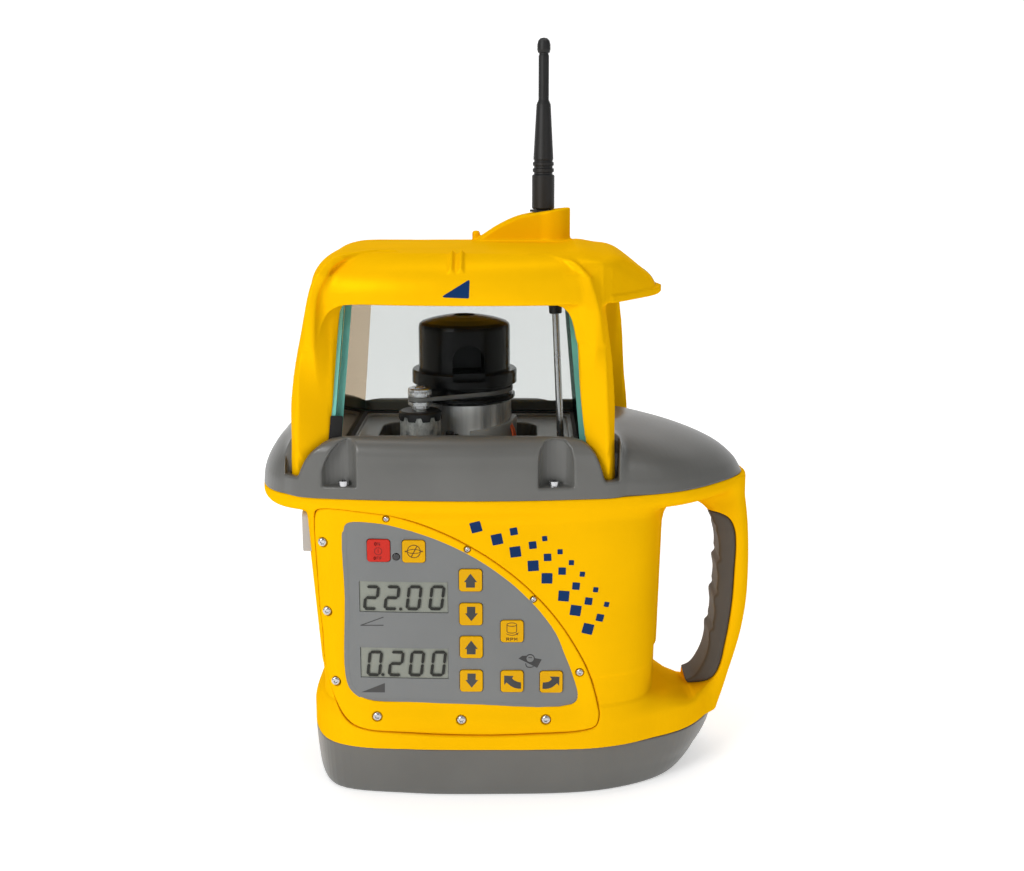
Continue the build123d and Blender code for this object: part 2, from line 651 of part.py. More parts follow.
with BuildPart() as cover_seal:
    with BuildSketch(Plane.XY.offset(Z_SEAM)):
        closed_half(inset_half(FLANGE, 6.4))
    extrude(amount=2.0)
    with BuildSketch(Plane.XY.offset(Z_SEAM - 1)):
        closed_half(inset_half(FLANGE, 9.4))
    extrude(amount=5.0, mode=Mode.SUBTRACT)
    for px, sy in POCKETS:
        with BuildSketch(Plane.XY.offset(Z_SEAM - 1)):
            with Locations((px, sy * 89.1)):
                RectangleRounded(26.4, 41.4, 12.2)
        extrude(amount=9.5, mode=Mode.SUBTRACT)
save(cover_seal, "cover_seal")

with BuildPart() as cover_screws:
    with BuildSketch(Plane.XY.offset(Z_SEAM + 7.5)):
        with Locations(*COVER_SCREWS):
            Circle(3.2)
    extrude(amount=3.0)
    with BuildSketch(Plane.XY.offset(Z_SEAM + 7.5)):
        with Locations(*COVER_SCREWS):
            Circle(1.8)
    extrude(amount=-7.4)
    with BuildSketch(Plane.XY.offset(Z_SEAM + 10.5)):
        with Locations(*COVER_SCREWS):
            RegularPolygon(1.7, 6)
    extrude(amount=-1.8, mode=Mode.SUBTRACT)
save(cover_screws, "cover_screws")

# ---------------------------------------------------------------- canopy
HOOD = [(-90, 0), (-88.8, -52), (-79, -77.0), (-2, -88), (75, -77.0), (85.0, -52), (86, 0)]
BEAK = [(70, 305.4), (121.0, 305.4), (122.7, 307.7), (120.8, 310.9), (116.3, 315.8), (110.0, 320.4),
        (103.7, 325.2), (97.4, 329.5), (91.1, 332.9), (84.8, 334.8), (70, 335.0)]
BEAK_IN = [(60, 304.0), (116.5, 304.0), (116.5, 308.6), (112.0, 313.0), (107.0, 316.8),
           (100.6, 321.6), (94.4, 325.6), (88.6, 328.4), (83.0, 330.0), (60, 330.0)]

with BuildPart() as beak:
    with BuildSketch(Plane.XZ):
        with BuildLine():
            Polyline(*BEAK, close=True)
        make_face()
    extrude(amount=80, both=True)
    with BuildSketch(Plane.XY.offset(300)):
        with BuildLine():
            Polyline((70, -68), (83, -73), (120.5, -19), (122.8, 0), (120.5, 19), (83, 73), (70, 68), close=True)
        make_face()
        fillet(vertices().group_by(Axis.X)[-2], 14)
    extrude(amount=60, mode=Mode.INTERSECT)

with BuildPart() as beak_hollow:
    with BuildSketch(Plane.XZ):
        with BuildLine():
            Polyline(*BEAK_IN, close=True)
        make_face()
    extrude(amount=80, both=True)
    with BuildSketch(Plane.XY.offset(300)):
        with BuildLine():
            Polyline((60, -60), (82, -66), (115.5, -17), (115.5, 17), (82, 66), (60, 60), close=True)
        make_face()
    extrude(amount=60, mode=Mode.INTERSECT)

TOWER_Y0, TOWER_Y1 = 32.0, 60.0
ANT_X, ANT_Y = 50.0, 46.0

# each pane at its foot (z 216) and head (z 312): left, right, front, rear
PANE_FRONT = ((-75.4, 75.4, -68.4, -64.4), (-66.9, 66.9, -59.8, -55.8))
PANE_REAR = ((-75.4, 75.4, 64.4, 68.4), (-66.9, 66.9, 55.8, 59.8))
PANE_LEFT = ((-75.4, -71.4, -64.2, 64.2), (-66.8, -62.8, -55.6, 55.6))
PANE_RIGHT = ((71.4, 75.4, -64.2, 64.2), (62.8, 66.8, -55.6, 55.6))


def pane_loft(pane, grow, mode):
    sections = []
    for z in (216.0 - grow, 312.0 + grow):
        t = (z - 216.0) / 96.0
        x0, x1, y0, y1 = [a + (b - a) * t for a, b in zip(*pane)]
        with BuildSketch(Plane.XY.offset(z)) as level:
            with BuildLine() as rim:
                Polyline((x0 - grow, y0 - grow), (x1 + grow, y0 - grow), (x1 + grow, y1 + grow), (x0 - grow, y1 + grow),
                         close=True)
            make_face(rim.edges())
        sections.append(level.sketch)
    loft(sections, ruled=True, mode=mode)


with BuildPart() as canopy:
    for z, t in ((Z_HOOD, 0.0), (320.0, 1.4), (330.0, 6.5), (Z_TOP, 16.0)):
        with BuildSketch(Plane.XY.offset(z)):
            closed_half(inset_half(HOOD, t))
    loft(ruled=True)
    add(beak.part)
    for z, t in ((Z_HOOD - 1, 4.2), (319.0, 5.6), (330.0, 13.0)):
        with BuildSketch(Plane.XY.offset(z)):
            closed_half(inset_half(HOOD, t))
    loft(ruled=True, mode=Mode.SUBTRACT)
    add(beak_hollow.part, mode=Mode.SUBTRACT)
    for sx, sy in LEGS:
        leg_loft(196.0, 327.0, sx, sy, 0.0, Mode.ADD)
    for pane in (PANE_FRONT, PANE_REAR, PANE_LEFT, PANE_RIGHT):
        pane_loft(pane, 0.12, Mode.SUBTRACT)
    # antenna tower with its fairing
    with BuildSketch(Plane.XZ.offset(-TOWER_Y1)):
        with BuildLine():
            Polyline((8.0, 333.0), (8.6, 335.8), (19.8, 343.0), (31.6, 348.6), (42.8, 351.4), (68.3, 352.0),
                     (69.0, 333.0), close=True)
        make_face()
    extrude(amount=TOWER_Y1 - TOWER_Y0)
    with BuildSketch(Plane.XY.offset(352.5)):
        with Locations((ANT_X, ANT_Y)):
            Circle(5.0)
    extrude(amount=-12.0, mode=Mode.SUBTRACT)
    # sight ridges and rear sight post
    with BuildSketch(Plane.XY.offset(334.0)):
        with Locations((-3.2, -66), (2.6, -66)):
            Rectangle(1.6, 16)
        with Locations((6.5, 58)):
            Rectangle(2.0, 6.0)
    extrude(amount=2.6)
save(canopy, "canopy")


with BuildPart() as window_front:
    pane_loft(PANE_FRONT, 0.0, Mode.ADD)
save(window_front, "window_front")

with BuildPart() as window_rear:
    pane_loft(PANE_REAR, 0.0, Mode.ADD)
save(window_rear, "window_rear")

with BuildPart() as window_left:
    pane_loft(PANE_LEFT, 0.0, Mode.ADD)
save(window_left, "window_left")

with BuildPart() as window_right:
    pane_loft(PANE_RIGHT, 0.0, Mode.ADD)
save(window_right, "window_right")

with BuildPart() as window_gasket:
    with BuildSketch(Plane.XY.offset(Z_DECK)):
        RectangleRounded(152.4, 138.4, 3)
        RectangleRounded(138, 124, 3, mode=Mode.SUBTRACT)
    extrude(amount=1.0)
    for sx, sy in LEGS:
        leg_loft(194.6, 236.0, sx, sy, 0.7, Mode.SUBTRACT)
save(window_gasket, "window_gasket")

# ---------------------------------------------------------------- antenna and its cable conduit
with BuildPart() as antenna_mount:
    with BuildSketch(Plane.XY.offset(341.0)):
        with Locations((ANT_X, ANT_Y)):
            Circle(4.98)
    extrude(amount=11.0)
    with BuildSketch(Plane.XY.offset(352.0)):
        with Locations((ANT_X, ANT_Y)):
            RegularPolygon(8.6, 6)
    extrude(amount=1.4)
    with BuildSketch(Plane.XY.offset(353.4)):
        with Locations((ANT_X, ANT_Y)):
            Circle(3.1)
    extrude(amount=8.6)
save(antenna_mount, "antenna_mount")

with BuildPart() as antenna:
    with BuildSketch(Plane(origin=(ANT_X, ANT_Y, 0), x_dir=(1, 0, 0), z_dir=(0, -1, 0))):
        with BuildLine():
            Polyline((0, 362.5), (3.1 + RUN, 362.5), (3.1 + RUN, 353.8), (6.8, 353.8), (7.3, 354.6), (7.3, 375.0),
                     (6.9, 375.6), (6.0, 376.0), (6.0, 377.2), (6.9, 377.6), (6.9, 379.6), (6.0, 380.0),
                     (6.0, 381.2), (6.8, 381.6), (6.8, 383.6), (6.0, 384.0), (6.0, 384.9), (6.5, 385.4),
                     (4.6, 420.0), (3.35, 423.0), (3.35, 450.4), (3.0, 450.8), (3.0, 451.8), (3.8, 452.2),
                     (4.25, 454.0), (4.25, 457.0), (3.6, 459.6), (2.2, 461.0), (0, 461.5), close=True)
        make_face()
    revolve(axis=Axis((ANT_X, ANT_Y, 0), (0, 0, 1)))
save(antenna, "antenna")

ROD_LO = Vector(60.4, -38.0, 213.5)
ROD_HI = Vector(55.2, -34.0, 328.0)
ROD_DIR = (ROD_HI - ROD_LO).normalized()
with BuildPart() as cable_conduit:
    with BuildSketch(Plane(origin=ROD_LO, z_dir=ROD_DIR)):
        Circle(2.1)
    extrude(amount=(ROD_HI - ROD_LO).length)
    with BuildSketch(Plane.XY.offset(Z_DECK)):
        with Locations((60.35, -37.9)):
            Circle(40)
    extrude(amount=-10, mode=Mode.SUBTRACT)
    with BuildSketch(Plane(origin=ROD_LO - ROD_DIR * 5, z_dir=ROD_DIR)):
        Circle(1.2)
    extrude(amount=140, mode=Mode.SUBTRACT)
save(cable_conduit, "cable_conduit")

FER_AT = ROD_LO + ROD_DIR * 82.0
with BuildPart() as conduit_ferrule:
    with BuildSketch(Plane(origin=FER_AT, z_dir=ROD_DIR)):
        Circle(3.9)
    extrude(amount=14.0)
    fillet(conduit_ferrule.edges(), 0.8)
    with BuildSketch(Plane(origin=FER_AT - ROD_DIR * 2, z_dir=ROD_DIR)):
        Circle(2.1)
    extrude(amount=20.0, mode=Mode.SUBTRACT)
save(conduit_ferrule, "conduit_ferrule")

# ---------------------------------------------------------------- battery group
with BuildPart() as battery_holder:
    with BuildSketch(Plane.XY.offset(40.0)):
        with Locations((0, 48.5)):
            Rectangle(134, 35.0)
    extrude(amount=74.0)
    for z0 in (42.0, 78.4):
        with BuildSketch(Plane.XY.offset(z0)):
            with Locations((0, 51.0)):
                Rectangle(129.0, 36.0)
        extrude(amount=34.2, mode=Mode.SUBTRACT)
save(battery_holder, "battery_holder")

CELL_R = 16.2
CELL_Y = 49.5
with BuildPart() as battery_cells:
    for z0 in (59.0, 95.4):
        for x0 in (-60.2, 0.6):
            with BuildSketch(Plane.YZ.offset(x0)):
                with Locations((CELL_Y, z0)):
                    Circle(CELL_R)
            extrude(amount=58.6)
            with BuildSketch(Plane.YZ.offset(x0 + 58.6)):
                with Locations((CELL_Y, z0)):
                    Circle(4.6)
            extrude(amount=1.6)
save(battery_cells, "battery_cells")

with BuildPart() as battery_contacts:
    for z0 in (59.0, 95.4):
        with BuildSketch(Plane.YZ.offset(-64.5)):
            with Locations((CELL_Y, z0)):
                Rectangle(18, 22)
        extrude(amount=0.8)
        with BuildSketch(Plane.YZ.offset(-63.7)):
            with Locations((CELL_Y, z0)):
                Circle(6.0)
                Circle(4.6, mode=Mode.SUBTRACT)
        extrude(amount=3.4)
        with BuildSketch(Plane.YZ.offset(61.0)):
            with Locations((CELL_Y, z0)):
                Rectangle(18, 22)
        extrude(amount=3.5)
save(battery_contacts, "battery_contacts")

with BuildPart() as battery_door:
    front_band(0.0, 3.4, Mode.ADD, -1)
    with BuildSketch(Plane.XZ.offset(-60)):
        with Locations((0, (DOOR_Z0 + DOOR_Z1) / 2)):
            RectangleRounded(DOOR_W - 0.8, DOOR_Z1 - DOOR_Z0 - 0.8, 3.6)
    extrude(amount=-40, mode=Mode.INTERSECT)
    for x0 in (-45.6, 33.6):
        with BuildSketch(Plane.YZ.offset(x0)):
            with Locations((DOOR_PIN_Y, DOOR_PIN_Z)):
                Circle(3.0)
            with Locations((DOOR_PIN_Y, DOOR_PIN_Z + 3.0)):
                Rectangle(3.2, 6.0)
            with Locations((DOOR_PIN_Y - 2.0, DOOR_PIN_Z + 6.5)):
                Rectangle(7.2, 6.0)
        extrude(amount=12.0)
    with BuildSketch(Plane.YZ.offset(-60)):
        with Locations((DOOR_PIN_Y, DOOR_PIN_Z)):
            Circle(1.5 + RUN)
    extrude(amount=120, mode=Mode.SUBTRACT)
    with BuildSketch(Plane.XZ.offset(-60)):
        with Locations((0, 104)):
            Circle(3.0 + RUN)
    extrude(amount=-30, mode=Mode.SUBTRACT)
save(battery_door, "battery_door")

with BuildPart() as door_hinge_pin:
    for x0 in (-58.0, 32.0):
        with BuildSketch(Plane.YZ.offset(x0)):
            with Locations((DOOR_PIN_Y, DOOR_PIN_Z)):
                Circle(1.5)
        extrude(amount=26.0)
save(door_hinge_pin, "door_hinge_pin")

with BuildPart() as door_latch:
    with BuildSketch(Plane.XZ.offset(-76.7)):
        with Locations((0, 104)):
            Circle(10.0)
    extrude(amount=-1.8)
    with BuildSketch(Plane.XZ.offset(-78.5)):
        with Locations((0, 104)):
            SlotOverall(18.0, 5.0)
    extrude(amount=-3.4)
    with BuildSketch(Plane.XZ.offset(-68.4)):
        with Locations((0, 104)):
            Circle(3.0)
    extrude(amount=-9.0)
    with BuildSketch(Plane.XZ.offset(-68.4)):
        with Locations((7.1, 104)):
            Rectangle(20.2, 6.0)
    extrude(amount=-3.0)
save(door_latch, "door_latch")

# ---------------------------------------------------------------- chassis and boards
COLUMNS = [(-69, -46), (-69, 24), (82, -46), (82, 46)]
with BuildPart() as chassis:
    with BuildSketch(Plane.XY.offset(118.0)):
        with Locations((5, 2)):
            RectangleRounded(176, 120, 12)
        Circle(35.0, mode=Mode.SUBTRACT)
    extrude(amount=4.0)
    with BuildSketch(Plane.XY.offset(5.0)):
        with Locations(*COLUMNS):
            Circle(4.0)
    extrude(amount=113.5)
    for sy in (-1, 1):
        with BuildSketch(Plane.XY.offset(121.0)):
            with Locations((0, sy * 52.0)):
                Rectangle(42, 10)
        extrude(amount=61.5)
        with BuildSketch(Plane.XY.offset(121.9)):
            with Locations((0, sy * 52.0)):
                Rectangle(30, 12)
        extrude(amount=48.6, mode=Mode.SUBTRACT)
    with BuildSketch(Plane.XZ.offset(70)):
        with Locations((0, PIVOT_Z)):
            Circle(PIN_R)
    extrude(amount=-140, mode=Mode.SUBTRACT)
save(chassis, "chassis")

with BuildPart() as gimbal_pins:
    for y0 in (37.5, -57.0):
        with BuildSketch(Plane.XZ.offset(-y0)):
            with Locations((0, PIVOT_Z)):
                Circle(PIN_R)
        extrude(amount=-19.5)
save(gimbal_pins, "gimbal_pins")

with BuildPart() as main_board:
    with BuildSketch(Plane.YZ.offset(-79.8)):
        with Locations((-8, 86)):
            Rectangle(76, 50)
    extrude(amount=1.6)
    with BuildSketch(Plane.YZ.offset(-78.2)):
        with Locations((-8, 90)):
            Rectangle(16, 16)
        with Locations((18, 80)):
            Rectangle(10, 14)
        with Locations((-34, 84)):
            Rectangle(9, 26)
    extrude(amount=2.0)
save(main_board, "main_board")

with BuildPart() as tilt_actuators:
    for x, y, z1 in ((-ARM, 0, 146.0), (0, ARM, 140.0)):
        with BuildSketch(Plane.XY.offset(122.0)):
            with Locations((x, y)):
                Circle(10.0)
        extrude(amount=z1 - 122.0)
        with BuildSketch(Plane.XY.offset(z1)):
            with Locations((x, y)):
                Circle(7.0)
        extrude(amount=4.0)
        with BuildSketch(Plane.XY.offset(123.0)):
            with Locations((x, y)):
                Circle(4.0 + RUN)
        extrude(amount=40.0, mode=Mode.SUBTRACT)
save(tilt_actuators, "tilt_actuators")

FOOT_GAP = 0.35
GRADE_FOOT_Z = 164.0      # lowest point of the foot under the gimbal ring arm
CROSS_FOOT_Z = 154.5      # lowest point of the foot under the tube lever
with BuildPart() as grade_plunger:
    with BuildSketch(Plane.XY.offset(131.0)):
        with Locations((-ARM, 0)):
            Circle(4.0)
    extrude(amount=GRADE_FOOT_Z - FOOT_GAP - 131.0)
    with BuildSketch(Plane.XY.offset(GRADE_FOOT_Z - FOOT_GAP - 1.6)):
        with Locations((-ARM, 0)):
            Circle(6.0)
    extrude(amount=1.6)
save(grade_plunger, "grade_plunger")

with BuildPart() as cross_plunger:
    with BuildSketch(Plane.XY.offset(131.0)):
        with Locations((0, ARM)):
            Circle(4.0)
    extrude(amount=CROSS_FOOT_Z - FOOT_GAP - 131.0)
    with BuildSketch(Plane.XY.offset(CROSS_FOOT_Z - FOOT_GAP - 1.6)):
        with Locations((0, ARM)):
            Circle(7.0)
    extrude(amount=1.6)
save(cross_plunger, "cross_plunger")

# ---------------------------------------------------------------- gimbal and laser tube
with BuildPart() as gimbal_ring:
    with BuildSketch(Plane.XY.offset(PIVOT_Z - 8)):
        Circle(44.0)
        Circle(36.0, mode=Mode.SUBTRACT)
    extrude(amount=16.0)
    with BuildSketch(Plane.XY.offset(PIVOT_Z - 4)):
        with Locations((-54.5, 0)):
            Rectangle(24, 12)
    extrude(amount=8.0)
    with BuildSketch(Plane.XY.offset(GRADE_FOOT_Z + 4.0)):
        with Locations((-ARM, 0)):
            Circle(4.0)
    extrude(amount=6.0)
    with BuildSketch(Plane(origin=(-ARM, 0, 0), x_dir=(1, 0, 0), z_dir=(0, -1, 0))):
        with BuildLine():
            Line((0, GRADE_FOOT_Z), (0, GRADE_FOOT_Z + 4.0))
            Line((0, GRADE_FOOT_Z + 4.0), (4.0, GRADE_FOOT_Z + 4.0))
            JernArc((4.0, GRADE_FOOT_Z + 4.0), (0, -1), 4.0, -90)
        make_face()
    revolve(axis=Axis((-ARM, 0, 0), (0, 0, 1)))
    with BuildSketch(Plane.XZ.offset(70)):
        with Locations((0, PIVOT_Z)):
            Circle(PIN_R + RUN)
    extrude(amount=-140, mode=Mode.SUBTRACT)
    with BuildSketch(Plane.YZ.offset(20)):
        with Locations((0, PIVOT_Z)):
            Circle(PIN_R)
    extrude(amount=30, mode=Mode.SUBTRACT)
    with BuildSketch(Plane.YZ.offset(-50)):
        with Locations((0, PIVOT_Z)):
            Circle(PIN_R)
    extrude(amount=30, mode=Mode.SUBTRACT)
save(gimbal_ring, "gimbal_ring")

with BuildPart() as cross_pins:
    for x0 in (28.0, -44.0):
        with BuildSketch(Plane.YZ.offset(x0)):
            with Locations((0, PIVOT_Z)):
                Circle(PIN_R)
        extrude(amount=16.0)
save(cross_pins, "cross_pins")

TUBE_R = 29.6
with BuildPart() as laser_tube:
    with BuildSketch(Plane.XY.offset(140.0)):
        Circle(TUBE_R)
    extrude(amount=97.0)
    with BuildSketch(Plane.XY.offset(139.0)):
        Circle(26.0)
    extrude(amount=93.0, mode=Mode.SUBTRACT)
    with BuildSketch(Plane.XY.offset(237.0)):
        Circle(12.0)
    extrude(amount=14.0)
    with BuildSketch(Plane.XY.offset(230.0)):
        Circle(8.0)
    extrude(amount=30.0, mode=Mode.SUBTRACT)
    with BuildSketch(Plane.YZ.offset(27.0)):
        with Locations((0, PIVOT_Z)):
            Circle(7.0)
    extrude(amount=5.4)
    with BuildSketch(Plane.YZ.offset(-32.4)):
        with Locations((0, PIVOT_Z)):
            Circle(7.0)
    extrude(amount=5.4)
    # lever to the cross plunger
    with BuildSketch(Plane.XY.offset(156.0)):
        with Locations((0, 46.0)):
            Rectangle(11, 38)
    extrude(amount=5.0)
    with BuildSketch(Plane.XY.offset(150.0)):
        Circle(TUBE_R - 0.5)
    extrude(amount=20)
    with BuildSketch(Plane.XY.offset(139.0)):
        Circle(26.0)
    extrude(amount=93.0, mode=Mode.SUBTRACT)
    with BuildSketch(Plane.YZ.offset(-60)):
        with Locations((0, PIVOT_Z)):
            Circle(PIN_R + RUN)
    extrude(amount=120, mode=Mode.SUBTRACT)
    # rounded foot of the lever
    with BuildSketch(Plane(origin=(0, ARM, 0), x_dir=(1, 0, 0), z_dir=(0, -1, 0))):
        with BuildLine():
            Line((0, CROSS_FOOT_Z), (0, CROSS_FOOT_Z + 3.4))
            Line((0, CROSS_FOOT_Z + 3.4), (3.0, CROSS_FOOT_Z + 3.4))
            Line((3.0, CROSS_FOOT_Z + 3.4), (3.0, CROSS_FOOT_Z + 3.0))
            JernArc((3.0, CROSS_FOOT_Z + 3.0), (0, -1), 3.0, -90)
        make_face()
    revolve(axis=Axis((0, ARM, 0), (0, 0, 1)))
save(laser_tube, "laser_tube")

with BuildPart() as laser_module:
    with BuildSketch(Plane.XY.offset(140.0)):
        Circle(25.9)
    extrude(amount=6.0)
    with BuildSketch(Plane.XY.offset(126.0)):
        Circle(11.0)
    extrude(amount=40.0)
    with BuildSketch(Plane.XY.offset(125.0)):
        Circle(3.0)
    extrude(amount=45.0, mode=Mode.SUBTRACT)
    with BuildSketch(Plane.XY.offset(126.0)):
        Circle(8.0)
    extrude(amount=6.0)
save(laser_module, "laser_module")

BR_ANG = degrees(atan2(MOTOR_Y, MOTOR_X))
with BuildPart() as motor_bracket:
    with BuildSketch(Plane.XY.offset(206.0)):
        Circle(32.5)
        with Locations((MOTOR_X, MOTOR_Y)):
            Circle(16.0)
        with BuildLine():
            Polyline((-33, -8), (10, -32), (-16, -54), (-39, -32), close=True)
        make_face()
        Circle(TUBE_R, mode=Mode.SUBTRACT)
        with Locations((MOTOR_X, MOTOR_Y)):
            Circle(MOTOR_R, mode=Mode.SUBTRACT)
    extrude(amount=8.0)
save(motor_bracket, "motor_bracket")

with BuildPart() as rotor_motor:
    with BuildSketch(Plane.XY.offset(194.0)):
        with Locations((MOTOR_X, MOTOR_Y)):
            Circle(MOTOR_R)
    extrude(amount=41.0)
    fillet(rotor_motor.faces().sort_by(Axis.Z)[-1].edges(), 1.6)
    with BuildSketch(Plane.XY.offset(235.0)):
        with Locations((MOTOR_X, MOTOR_Y)):
            Circle(4.0)
    extrude(amount=2.4)
    with BuildSketch(Plane.XY.offset(237.4)):
        with Locations((MOTOR_X, MOTOR_Y)):
            Circle(1.5)
    extrude(amount=13.0)
save(rotor_motor, "rotor_motor")

with BuildPart() as motor_pulley:
    with BuildSketch(Plane(origin=(MOTOR_X, MOTOR_Y, 0), x_dir=(1, 0, 0), z_dir=(0, -1, 0))):
        with BuildLine():
            Polyline((1.5 + RUN, 238.0), (5.6, 238.0), (5.6, 240.8), (7.5, 241.2), (7.5, 241.7),
                     (MPULLEY_R, 241.8), (MPULLEY_R, 246.6), (7.5, 246.7), (7.5, 250.0), (6.6, 250.8),
                     (1.5 + RUN, 250.8), close=True)
        make_face()
    revolve(axis=Axis((MOTOR_X, MOTOR_Y, 0), (0, 0, 1)))
save(motor_pulley, "motor_pulley")

# open belt round both grooves, with a small gap to each groove floor
BELT_GAP = 0.12
BELT_T = 1.2
DIST = sqrt(MOTOR_X ** 2 + MOTOR_Y ** 2)
R1, R2 = GROOVE_R + BELT_GAP, MPULLEY_R + BELT_GAP


def belt_points(r1, r2):
    """Tangent points of the belt line on rotor and motor circles, both sides."""
    base = atan2(MOTOR_Y, MOTOR_X)
    a = radians(90) - atan2(r1 - r2, sqrt(DIST ** 2 - (r1 - r2) ** 2))
    res = []
    for s in (-1, 1):
        res.append(((r1 * cos(base + s * a), r1 * sin(base + s * a)),
                    (MOTOR_X + r2 * cos(base + s * a), MOTOR_Y + r2 * sin(base + s * a))))
    far = (r1 * cos(base + radians(180)), r1 * sin(base + radians(180)))
    near = (MOTOR_X + r2 * cos(base), MOTOR_Y + r2 * sin(base))
    return res, far, near


def belt_face(r1, r2, mode):
    (a, b), far, near = belt_points(r1, r2)
    with BuildLine() as rim:
        Line(a[0], a[1])
        ThreePointArc(a[1], near, b[1])
        Line(b[1], b[0])
        ThreePointArc(b[0], far, a[0])
    make_face(rim.edges(), mode=mode)


with BuildPart() as drive_belt:
    with BuildSketch(Plane.XY.offset(BELT_Z - BELT_H / 2)):
        belt_face(R1 + BELT_T, R2 + BELT_T, Mode.ADD)
        belt_face(R1, R2, Mode.SUBTRACT)
    extrude(amount=BELT_H)
save(drive_belt, "drive_belt")

with BuildPart() as rotor_bearing:
    with BuildSketch(Plane.XY.offset(239.0)):
        Circle(16.0 - RUN)
        Circle(12.0, mode=Mode.SUBTRACT)
    extrude(amount=10.0)
save(rotor_bearing, "rotor_bearing")

# ---------------------------------------------------------------- rotor
AP_ANG = 8.0              # aperture turned this far to the right of the front
ap_dir = (sin(radians(AP_ANG)), -cos(radians(AP_ANG)), 0)
ap_x = (cos(radians(AP_ANG)), sin(radians(AP_ANG)), 0)

with BuildPart() as rotor_pulley:
    with BuildSketch(Plane.XZ):
        with BuildLine():
            Polyline((16.0, 238.4), (31.6, 238.4), (32.0, 238.8), (32.0, 240.6), (31.6, 241.0), (GROOVE_R, 241.4),
                     (GROOVE_R, 247.0), (31.6, 247.4), (RING_R, 248.2), (RING_R, 255.8), (32.3, 256.7),
                     (20.0, 256.7), (20.0, 251.5), (16.0, 251.5), close=True)
        make_face()
    revolve(axis=Axis.Z)
    with BuildSketch(Plane(origin=(0, 0, 252.2), x_dir=ap_x, z_dir=(0, 0, 1))):
        with Locations((0, -32.5)):
            Rectangle(20.0, 14.0)
    extrude(amount=8.0, mode=Mode.SUBTRACT)
save(rotor_pulley, "rotor_pulley")

with BuildPart() as rotor_head:
    with BuildSketch(Plane.XZ):
        with BuildLine():
            Polyline((20.0, 251.6), (20.0, 256.7), (HEAD_R, 256.7), (HEAD_R, 283.0), (28.3, 285.0), (26.6, 286.4),
                     (20.0, 288.4), (13.0, 289.8), (7.4, 290.4), (6.6, 290.2), (6.4, 289.4), (6.4, 286.6),
                     (0, 286.6), (0, 284.2), (24.6, 283.2), (25.6, 281.6), (25.6, 258.8), (6.0, 258.8),
                     (6.0, 256.2), (17.6, 256.2), (17.6, 251.6), close=True)
        make_face()
    revolve(axis=Axis.Z)
    with BuildSketch(Plane(origin=(0, 0, 0), x_dir=ap_x, z_dir=ap_dir)):
        with BuildLine():
            Line((-10.0, 252.2), (10.0, 252.2))
            Line((10.0, 252.2), (10.0, 264.5))
            ThreePointArc((10.0, 264.5), (0, 274.5), (-10.0, 264.5))
            Line((-10.0, 264.5), (-10.0, 252.2))
        make_face()
    extrude(amount=40, mode=Mode.SUBTRACT)
save(rotor_head, "rotor_head")

with BuildPart() as prism:
    with BuildSketch(Plane(origin=(0, 0, 258.8), x_dir=ap_x, z_dir=(0, 0, 1))):
        with BuildLine():
            Polyline((-9, -14), (9, -14), (9, 10), (5, 15), (-5, 15), (-9, 10), close=True)
        make_face()
    extrude(amount=20.0)
    chamfer(prism.faces().sort_by(Axis.Z)[-1].edges().sort_by(SortBy.LENGTH)[-1], 1.0)
save(prism, "prism")
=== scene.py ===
import math

import bmesh
import bpy
import numpy as np
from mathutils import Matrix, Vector


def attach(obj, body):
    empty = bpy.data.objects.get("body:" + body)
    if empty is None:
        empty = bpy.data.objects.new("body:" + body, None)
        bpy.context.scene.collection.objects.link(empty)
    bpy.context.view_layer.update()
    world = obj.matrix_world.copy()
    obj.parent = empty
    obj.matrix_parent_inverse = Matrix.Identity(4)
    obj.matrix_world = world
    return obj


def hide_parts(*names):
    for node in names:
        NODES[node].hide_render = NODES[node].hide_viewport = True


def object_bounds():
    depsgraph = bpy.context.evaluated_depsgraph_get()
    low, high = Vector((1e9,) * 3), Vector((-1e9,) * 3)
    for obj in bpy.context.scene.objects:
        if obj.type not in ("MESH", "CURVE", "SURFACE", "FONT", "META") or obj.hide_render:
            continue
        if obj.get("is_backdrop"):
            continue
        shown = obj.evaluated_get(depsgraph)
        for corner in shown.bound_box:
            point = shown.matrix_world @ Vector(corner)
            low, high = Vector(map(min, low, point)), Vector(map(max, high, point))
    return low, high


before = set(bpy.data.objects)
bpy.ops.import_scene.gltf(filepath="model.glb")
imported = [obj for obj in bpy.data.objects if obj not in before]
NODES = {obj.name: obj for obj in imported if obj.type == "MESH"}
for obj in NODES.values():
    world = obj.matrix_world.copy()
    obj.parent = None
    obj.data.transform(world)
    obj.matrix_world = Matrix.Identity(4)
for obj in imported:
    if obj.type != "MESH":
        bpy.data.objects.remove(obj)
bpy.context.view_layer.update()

MM = 0.001
rng = np.random.default_rng(7)

